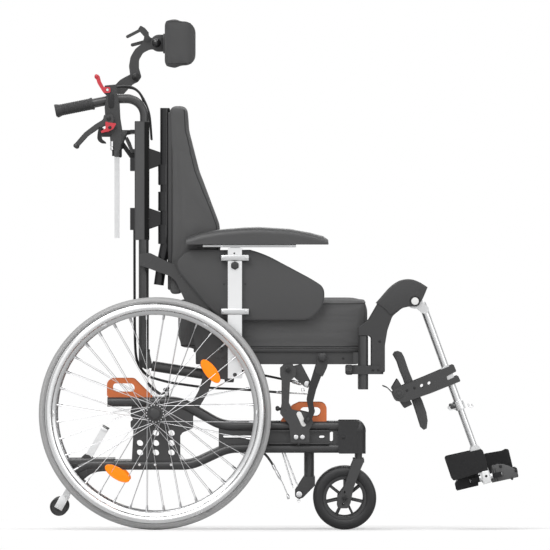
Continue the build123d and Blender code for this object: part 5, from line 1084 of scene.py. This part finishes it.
# a stop on the upper tube takes the end of each long cable
cable_stops = bmesh.new()
add_plate(cable_stops, [(-0.2990, 0.3650), (-0.2900, 0.3665), (-0.2890, 0.3460), (-0.2985, 0.3460)], 0.2260,
          0.0080, 0.0008)
add_plate(cable_stops, [(-0.3035, 0.3690), (-0.2890, 0.3725), (-0.2880, 0.3670), (-0.3020, 0.3635)], 0.2240,
          0.0120, 0.0008)
both_sides("cable_stops", cable_stops, "chassis", screw_black)
stop_plates = bmesh.new()
add_plate(stop_plates, [(-0.2975, 0.3620), (-0.2910, 0.3630), (-0.2905, 0.3525), (-0.2970, 0.3520)], 0.2340,
          0.0012, 0.0002)
both_sides("stop_plates", stop_plates, "chassis", zinc)
run_cable("long_cable", [(-0.3450, 0.3840), (-0.3335, 0.3710), (-0.3160, 0.3575), (-0.3080, 0.3540), (-0.2990, 0.3590)],
          0.2300, 0.0024, "chassis", sleeve_black)

# ---- headrest ----
# A square aluminium rod, painted black at its top, carries a black jointed arm whose joints hand
# screws and levers draw tight. The pad is moulded foam in the knitted cover, on a bent steel bracket
# with round-ended cheeks.
rod_finish = finish("rod_two_tone", (0.84, 0.845, 0.85), 0.34, **drawn_grain)
rod_tree = rod_finish.node_tree
rod_shader = rod_tree.nodes["Principled BSDF"]
rod_height = rod_tree.nodes.new("ShaderNodeSeparateXYZ")
rod_tree.links.new(rod_tree.nodes.new("ShaderNodeTexCoord").outputs["Object"], rod_height.inputs[0])
painted = math_node(rod_tree, "GREATER_THAN", rod_height.outputs["Z"], 1.056)
rod_tone = rod_tree.nodes.new("ShaderNodeVectorMath")
rod_tone.operation = "SCALE"
rod_tree.links.new(rod_shader.inputs["Base Color"].links[0].from_socket, rod_tone.inputs[0])
rod_tree.links.new(math_node(rod_tree, "SUBTRACT", 1.0, math_node(rod_tree, "MULTIPLY", painted, 0.95)),
                   rod_tone.inputs["Scale"])
rod_tree.links.new(rod_tone.outputs[0], rod_shader.inputs["Base Color"])
rod_tree.links.new(math_node(rod_tree, "SUBTRACT", 1.0, painted), rod_shader.inputs["Metallic"])
dress(rod_finish, "headrest_rod")
dress(powder_black, "headrest_arm", "headrest_lever")
rod_top = bmesh.new()
add_plate(rod_top, [(-0.4328, 1.1402), (-0.4328, 1.1666), (-0.4176, 1.1828), (-0.3916, 1.1973), (-0.3698, 1.2013),
                    (-0.3622, 1.1905), (-0.3699, 1.1767), (-0.3834, 1.1717), (-0.4124, 1.1402)], -0.0062, 0.0124, 0.0,
          [(2, 0.006), (3, 0.012), (4, 0.010), (5, 0.008), (6, 0.008), (7, 0.008)])
piece("rod_top", rod_top, "headrest_rod", powder_black)
headrest_elbow = (-0.3755, 1.1905)
arm_knobs = bmesh.new()
add_drum(arm_knobs, headrest_elbow, 0.0122, 0.0040, 0.0108, 32, 0.0012)
add_drum(arm_knobs, headrest_elbow, 0.0162, 0.0012, 0.0056, 6, 0.0003)
both_sides("arm_knobs", arm_knobs, "headrest_arm", screw_black)
gloss_black = finish("gloss_black", (0.016, 0.016, 0.017), 0.14, spread=0.08, patch=30.0, Specular_IOR_Level=0.6)
ball_knob = bmesh.new()
add_lathe(ball_knob, (-0.3215, -0.0225, 1.2800), (0, -1, 0),
          [(0, 0), (0, 0.0100), (0.0008, 0.0114), (0.0060, 0.0118), (0.0085, 0.0108), (0.0100, 0.0092),
           (0.0120, 0.0060), (0.0128, 0)], 36)
piece("ball_knob", ball_knob, "headrest_arm", gloss_black)

head_cloth = cover_cloth("head_cloth", (0.088, 0.088, 0.089), 0.0012, 0.0002)
head_pad = upholster("headrest_cover", "headrest_pad", "headrest_pad", head_cloth, 0.0045, 0.0012, 0.0022,
                     cut=(Vector((-0.2984, 0, 0)), Vector((-1, 0, 0))))
head_low_x, head_high_x = -0.2915, -0.2300
for row, height in [("low", 1.2240), ("top", 1.3355)]:
    stitch("headrest_seam_" + row, head_pad, [(head_low_x, -0.1300, height), (head_high_x, -0.1260, height),
                                              (-0.2200, 0.0, height), (head_high_x, 0.1260, height),
                                              (head_low_x, 0.1300, height)],
           "headrest_pad", seam_thread, 0.0009, 0.008, False)

head_bracket = bmesh.new()
add_plate(head_bracket, [(-0.3335, 1.2695), (-0.3345, 1.2825), (-0.3255, 1.2920), (-0.2985, 1.3010), (-0.2985, 1.2560),
                         (-0.3200, 1.2670)], -0.0060, 0.0120, 0.0008, [(0, 0.006), (1, 0.008), (2, 0.006), (5, 0.006)])
for lane in (0.0123, -0.0163):
    add_plate(head_bracket, [(-0.3375, 1.2570), (-0.3375, 1.3020), (-0.2985, 1.3020), (-0.2985, 1.2570)], lane, 0.0040,
              0.0008, [(0, 0.0220), (1, 0.0220)])
add_block(head_bracket, Matrix.Translation((-0.3008, 0, 1.2785)), (0.0064, 0.0760, 0.0520), 0.0016)
piece("head_bracket", head_bracket, "headrest_pad", powder_black)
bracket_slots = bmesh.new()
add_plate(bracket_slots, [(-0.3085, 1.2920), (-0.3040, 1.2920), (-0.3040, 1.2640), (-0.3085, 1.2640)], 0.0163, 0.0006)
piece("bracket_slots", bracket_slots, "headrest_pad", screw_black)

# ---- headrest rod clamp ----
# A pressed grey steel bracket on the cross member of the back holds the rod: a plate on each side of
# it and a brace further out. Two black hand screws lock it.
clamp_screws = bmesh.new()
for mark, size in [((-0.4150, 1.0070), 0.0078), ((-0.4165, 0.9820), 0.0042)]:
    add_cap(clamp_screws, mark, 0.0122, 0.0060, size, 28, 0.0012, size * 0.45, 0.0008)
piece("clamp_screws", clamp_screws, "back", screw_black)
clamp_grey = finish("clamp_grey", (0.115, 0.115, 0.116), 0.4, spread=0.1, patch=12.0, grain_size=900.0, Metallic=0.3)
clamp_plates = bmesh.new()
add_plate(clamp_plates, [(-0.4155, 1.0480), (-0.3965, 1.0480), (-0.4055, 1.0295), (-0.4185, 0.9980), (-0.4185, 0.9800),
                         (-0.4330, 0.9800), (-0.4330, 1.0060), (-0.4235, 1.0295)], 0.0121, 0.0024, 0.0008,
          [(0, 0.003), (1, 0.003), (5, 0.002), (4, 0.002)])
both_sides("clamp_plates", clamp_plates, "back", clamp_grey)
clamp_braces = bmesh.new()
add_plate(clamp_braces, [(-0.4045, 1.0270), (-0.3980, 1.0335), (-0.3900, 1.0190), (-0.3835, 1.0005), (-0.3755, 1.0005),
                         (-0.3755, 0.9900), (-0.3885, 0.9900)],
          0.0700, 0.0024, 0.0006, [(0, 0.002), (1, 0.002), (6, 0.003)])
both_sides("clamp_braces", clamp_braces, "back", clamp_grey)

# ---- legrest hangers ----
# Moulded housings over the swing-away posts, each with a padded knee cover, a clamp round the post
# and a knurled hand knob. The covers are separate shells with thick rounded edges.
dress(moulded_black, "leg_hanger")
knee_shell = finish("knee_shell", (0.050, 0.050, 0.051), 0.48, spread=0.1, patch=10.0, grain_size=1500.0, depth=0.00018,
                    Specular_IOR_Level=0.4)
knee_covers = bmesh.new()
add_plate(knee_covers, [(0.2570, 0.5950), (0.2675, 0.6065), (0.2780, 0.6190), (0.2885, 0.6310), (0.2990, 0.6410),
                        (0.3095, 0.6485), (0.3200, 0.6540), (0.3305, 0.6570), (0.3410, 0.6580), (0.3520, 0.6570),
                        (0.3625, 0.6535), (0.3730, 0.6485), (0.3835, 0.6420), (0.3915, 0.6365), (0.3875, 0.6265),
                        (0.3835, 0.6170), (0.3795, 0.6080), (0.3745, 0.5995), (0.3675, 0.5925), (0.3595, 0.5880),
                        (0.3490, 0.5860), (0.3385, 0.5850), (0.3280, 0.5825), (0.3175, 0.5775), (0.3055, 0.5695),
                        (0.2940, 0.5620), (0.2795, 0.5775)],
          0.2136, 0.0282, 0.0030)
both_sides("knee_covers", knee_covers, "leg_hanger", knee_shell, 60.0)
knee_pivot = (0.3585, 0.6000)
# a black ring round the pivot cap paints the shade of the recess it sits in
knee_rings = bmesh.new()
add_turning(knee_rings, [(0.0100, 0.2400), (0.0100, 0.2424), (0.0110, 0.2432), (0.0134, 0.2432), (0.0142, 0.2422),
                         (0.0142, 0.2400)], knee_pivot, 48)
both_sides("knee_rings", knee_rings, "leg_hanger", screw_black)
knee_caps = bmesh.new()
add_cap(knee_caps, knee_pivot, 0.2412, 0.0030, 0.0099, 40, 0.0012, 0.0040, 0.0005)
both_sides("knee_caps", knee_caps, "leg_tube", nylon_white)
hanger_screws = bmesh.new()
add_cap(hanger_screws, (0.2660, 0.4945), 0.2388, 0.0014, 0.0036, 24, 0.0006, 0.0016, 0.0003)
for mark in [(0.2475, 0.4195), (0.2620, 0.4195)]:
    add_drum(hanger_screws, mark, 0.2420, 0.0020, 0.0034, 20, 0.0006)
both_sides("hanger_screws", hanger_screws, "leg_hanger", screw_black)
hanger_knobs = bmesh.new()
knurls = 18
add_lathe(hanger_knobs, (0.1990, -0.2260, 0.4190), (-1, 0, 0),
          [(0, 0), (0, 0.0090), (0.0040, 0.0090), (0.0050, 0.0118), (0.0070, 0.0128), (0.0190, 0.0128),
           (0.0212, 0.0112), (0.0225, 0.0070), (0.0225, 0)], 2 * knurls)
for vertex in hanger_knobs.verts:
    off_axis = Vector((0, vertex.co.y + 0.2260, vertex.co.z - 0.4190))
    if off_axis.length > 0.0105 and round(math.atan2(off_axis.y, off_axis.z) / math.tau * 2 * knurls) % 2:
        vertex.co -= off_axis * 0.13
both_sides("hanger_knobs", hanger_knobs, "leg_hanger", grip_rubber)

# ---- leg tubes ----
# Drawn aluminium tubes, clear anodised, that telescope in a satin clamp. A black hand knob locks the
# length, with a plated pull ring beside it.
drawn_tube = finish("drawn_tube", (0.72, 0.725, 0.73), 0.34, **drawn_grain, Metallic=1.0)
dress(drawn_tube, "leg_tube", "lower_leg")
leg_knobs = bmesh.new()
add_lathe(leg_knobs, (0.4700, -0.1990, 0.3230), (-1, 0, -0.10),
          [(0, 0), (0, 0.0062), (0.0040, 0.0062), (0.0050, 0.0074), (0.0170, 0.0078), (0.0190, 0.0064), (0.0200, 0)],
          28)
add_bolt(leg_knobs, (0.4280, 0.3985), 0.2092, 0.0046)
both_sides("leg_knobs", leg_knobs, "leg_tube", moulded_black)
pull_rings = bmesh.new()
add_turning(pull_rings, wire_ring(0.0052, 0.1990, 0.0010), (0.5060, 0.3260), 32)
both_sides("pull_rings", pull_rings, "leg_tube", zinc)
tube_clamps = bmesh.new()
tube_axis = Vector((0.1005, 0, -0.2770))
add_lathe(tube_clamps, Vector((0.4720, -0.1990, 0.3380)), tube_axis,
          [(0, 0), (0, 0.0116), (0.0010, 0.0126), (0.0070, 0.0126), (0.0078, 0.0118), (0.0120, 0.0118),
           (0.0128, 0.0128), (0.0230, 0.0128), (0.0240, 0.0118), (0.0240, 0)], 40)
both_sides("tube_clamps", tube_clamps, "leg_tube", satin_aluminium)

# ---- calf pads ----
# Pressed steel arms with pivoting pads on black brackets. Each pad is a shaped board of foam in the
# headrest's knitted cover, with a short strap at its back edge.
dress(powder_black, "calf_arm")
calf_pivot = (0.3160, 0.3565)
arm_bosses = bmesh.new()
add_drum(arm_bosses, calf_pivot, 0.2172, 0.0012, 0.0136, 36, 0.0006)
add_turning(arm_bosses, [(0.0082, 0.2180), (0.0082, 0.2196), (0.0108, 0.2196), (0.0108, 0.2180)], calf_pivot, 40)
add_drum(arm_bosses, calf_pivot, 0.2184, 0.0008, 0.0046, 24, 0.0003)
both_sides("calf_bosses", arm_bosses, "leg_tube", powder_black)
arm_screws = bmesh.new()
for mark in [(0.3375, 0.3655), (0.3570, 0.3720)]:
    add_drum(arm_screws, mark, 0.2172, 0.0010, 0.0036, 24, 0.0005)
both_sides("calf_screws", arm_screws, "leg_tube", screw_black)
calf_inner = -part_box("calf_rest_right")[1].y
calf_pads = bmesh.new()
add_plate(calf_pads, [(0.3010, 0.4590), (0.3060, 0.4665), (0.3150, 0.4685), (0.3240, 0.4650), (0.3305, 0.4525),
                      (0.3420, 0.4185), (0.3520, 0.3940), (0.3650, 0.3655), (0.3775, 0.3395), (0.3885, 0.3085),
                      (0.3920, 0.2865), (0.3895, 0.2655), (0.3815, 0.2615), (0.3740, 0.2680), (0.3655, 0.2955),
                      (0.3570, 0.3215), (0.3490, 0.3445), (0.3335, 0.3790), (0.3275, 0.3965), (0.3200, 0.4140),
                      (0.3115, 0.4400)],
          calf_inner, 0.1966 - calf_inner, 0.0036)
pads = both_sides("calf_cover", calf_pads, "calf_rest", head_cloth, 60.0, replaced="calf_rest")
calf_brackets = bmesh.new()
add_plate(calf_brackets, [(0.2965, 0.3710), (0.3120, 0.3970), (0.3280, 0.3710), (0.3520, 0.3285), (0.3305, 0.3180),
                          (0.3200, 0.3340)], 0.1960, 0.0066, 0.0010, [(0, 0.003), (1, 0.003), (3, 0.003), (4, 0.003)])
add_drum(calf_brackets, calf_pivot, 0.1960, 0.0128, 0.0110, 36, 0.0010)
both_sides("calf_brackets", calf_brackets, "calf_rest", powder_black)
run_cable("calf_strap", [(0.2740, 0.3770), (0.2835, 0.3745), (0.2910, 0.3680), (0.2980, 0.3595), (0.3095, 0.3535)],
          0.2050, 0.0014, "calf_rest", sleeve_black)

# ---- heel guards ----
# A flat panel in black knit beside each heel, held by a satin aluminium plate at the footplate's
# hinge.
heel_knit = cover_cloth("heel_knit", (0.026, 0.026, 0.027), 0.0030, 0.0006)
heel_guards = bmesh.new()
add_plate(heel_guards, [(0.4370, 0.1900), (0.5350, 0.2120), (0.5440, 0.1875), (0.5505, 0.1560), (0.5335, 0.1505),
                        (0.4580, 0.1275)], 0.2074,
          0.0064, 0.0014, [(0, 0.008), (1, 0.006), (2, 0.010), (5, 0.006)])
both_sides("heel_guards", heel_guards, "lower_leg", heel_knit, 50.0)
hinge_plates = bmesh.new()
add_plate(hinge_plates, [(0.5340, 0.1520), (0.5495, 0.1555), (0.5580, 0.1240), (0.5385, 0.1185)], 0.2080,
          0.0080, 0.0010)
both_sides("hinge_plates", hinge_plates, "lower_leg", satin_aluminium)
hinge_screws = bmesh.new()
add_drum(hinge_screws, (0.5455, 0.1405), 0.2160, 0.0016, 0.0034, 24, 0.0005)
both_sides("hinge_screws", hinge_screws, "lower_leg", screw_black)

# ---- footplates ----
# Black moulded nylon trays with ribs under the sole. A wall stands along the outer side, grey at the
# toes and black at the heel, with small moulded studs and grooves; on the grey toe wall two grooves are
# black strips of painted shade.
tray_grain = dict(spread=0.1, patch=16.0, grain_size=1600.0, depth=0.0002)
foot_black = finish("foot_black", (0.010, 0.010, 0.011), 0.5, **tray_grain, Specular_IOR_Level=0.3)
dress(foot_black, "footplate")
foot_grey = finish("foot_grey", (0.098, 0.098, 0.099), 0.5, **tray_grain)
tray_walls = bmesh.new()
add_plate(tray_walls, [(0.5605, 0.1675), (0.5835, 0.1740), (0.6160, 0.1625), (0.6280, 0.1525), (0.6310, 0.1400),
                       (0.6300, 0.1375), (0.5615, 0.1225)],
          0.1616, 0.0052, 0.0012, [(1, 0.012), (2, 0.006), (3, 0.004), (4, 0.003)])
both_sides("tray_walls", tray_walls, "footplate", foot_grey, 50.0)
rear_walls = bmesh.new()
add_plate(rear_walls, [(0.4655, 0.1175), (0.4690, 0.1015), (0.5020, 0.1095), (0.5255, 0.1150), (0.5250, 0.1490),
                       (0.5045, 0.1430), (0.4715, 0.1310)], 0.1616, 0.0046, 0.0010)
wall_slope = Matrix.Rotation(math.radians(-12), 4, "Y")
for groove in (0.5060, 0.5155):
    add_block(rear_walls, Matrix.Translation((groove, -0.1668, 0.1300)) @ wall_slope, (0.0044, 0.0016, 0.0260))
both_sides("rear_walls", rear_walls, "footplate", foot_black, 50.0)
wall_details = bmesh.new()
add_drum(wall_details, (0.5835, 0.1660), 0.1668, 0.0034, 0.0042, 24, 0.0008)
add_drum(wall_details, (0.6240, 0.1545), 0.1668, 0.0030, 0.0036, 20, 0.0008)
add_drum(wall_details, (0.6140, 0.1330), 0.1668, 0.0030, 0.0034, 20, 0.0008)
# black strips paint the shade in the toe wall's two grooves
for groove in (0.5665, 0.5725):
    add_block(wall_details, Matrix.Translation((groove, -0.1670, 0.1430)) @ wall_slope, (0.0016, 0.0010, 0.0340))
both_sides("wall_details", wall_details, "footplate", screw_black)
sole_ribs = bmesh.new()
plate_turn = Matrix.Translation((0.5455, 0, 0.1365)) @ Matrix.Rotation(math.radians(-13), 4, "Y")
for number in range(9):
    along = -0.0640 + number * 0.0155
    add_block(sole_ribs, plate_turn @ Matrix.Translation((along, -0.0880, 0.0045)), (0.0034, 0.1300, 0.0040), 0.0010)
both_sides("sole_ribs", sole_ribs, "footplate", foot_black)
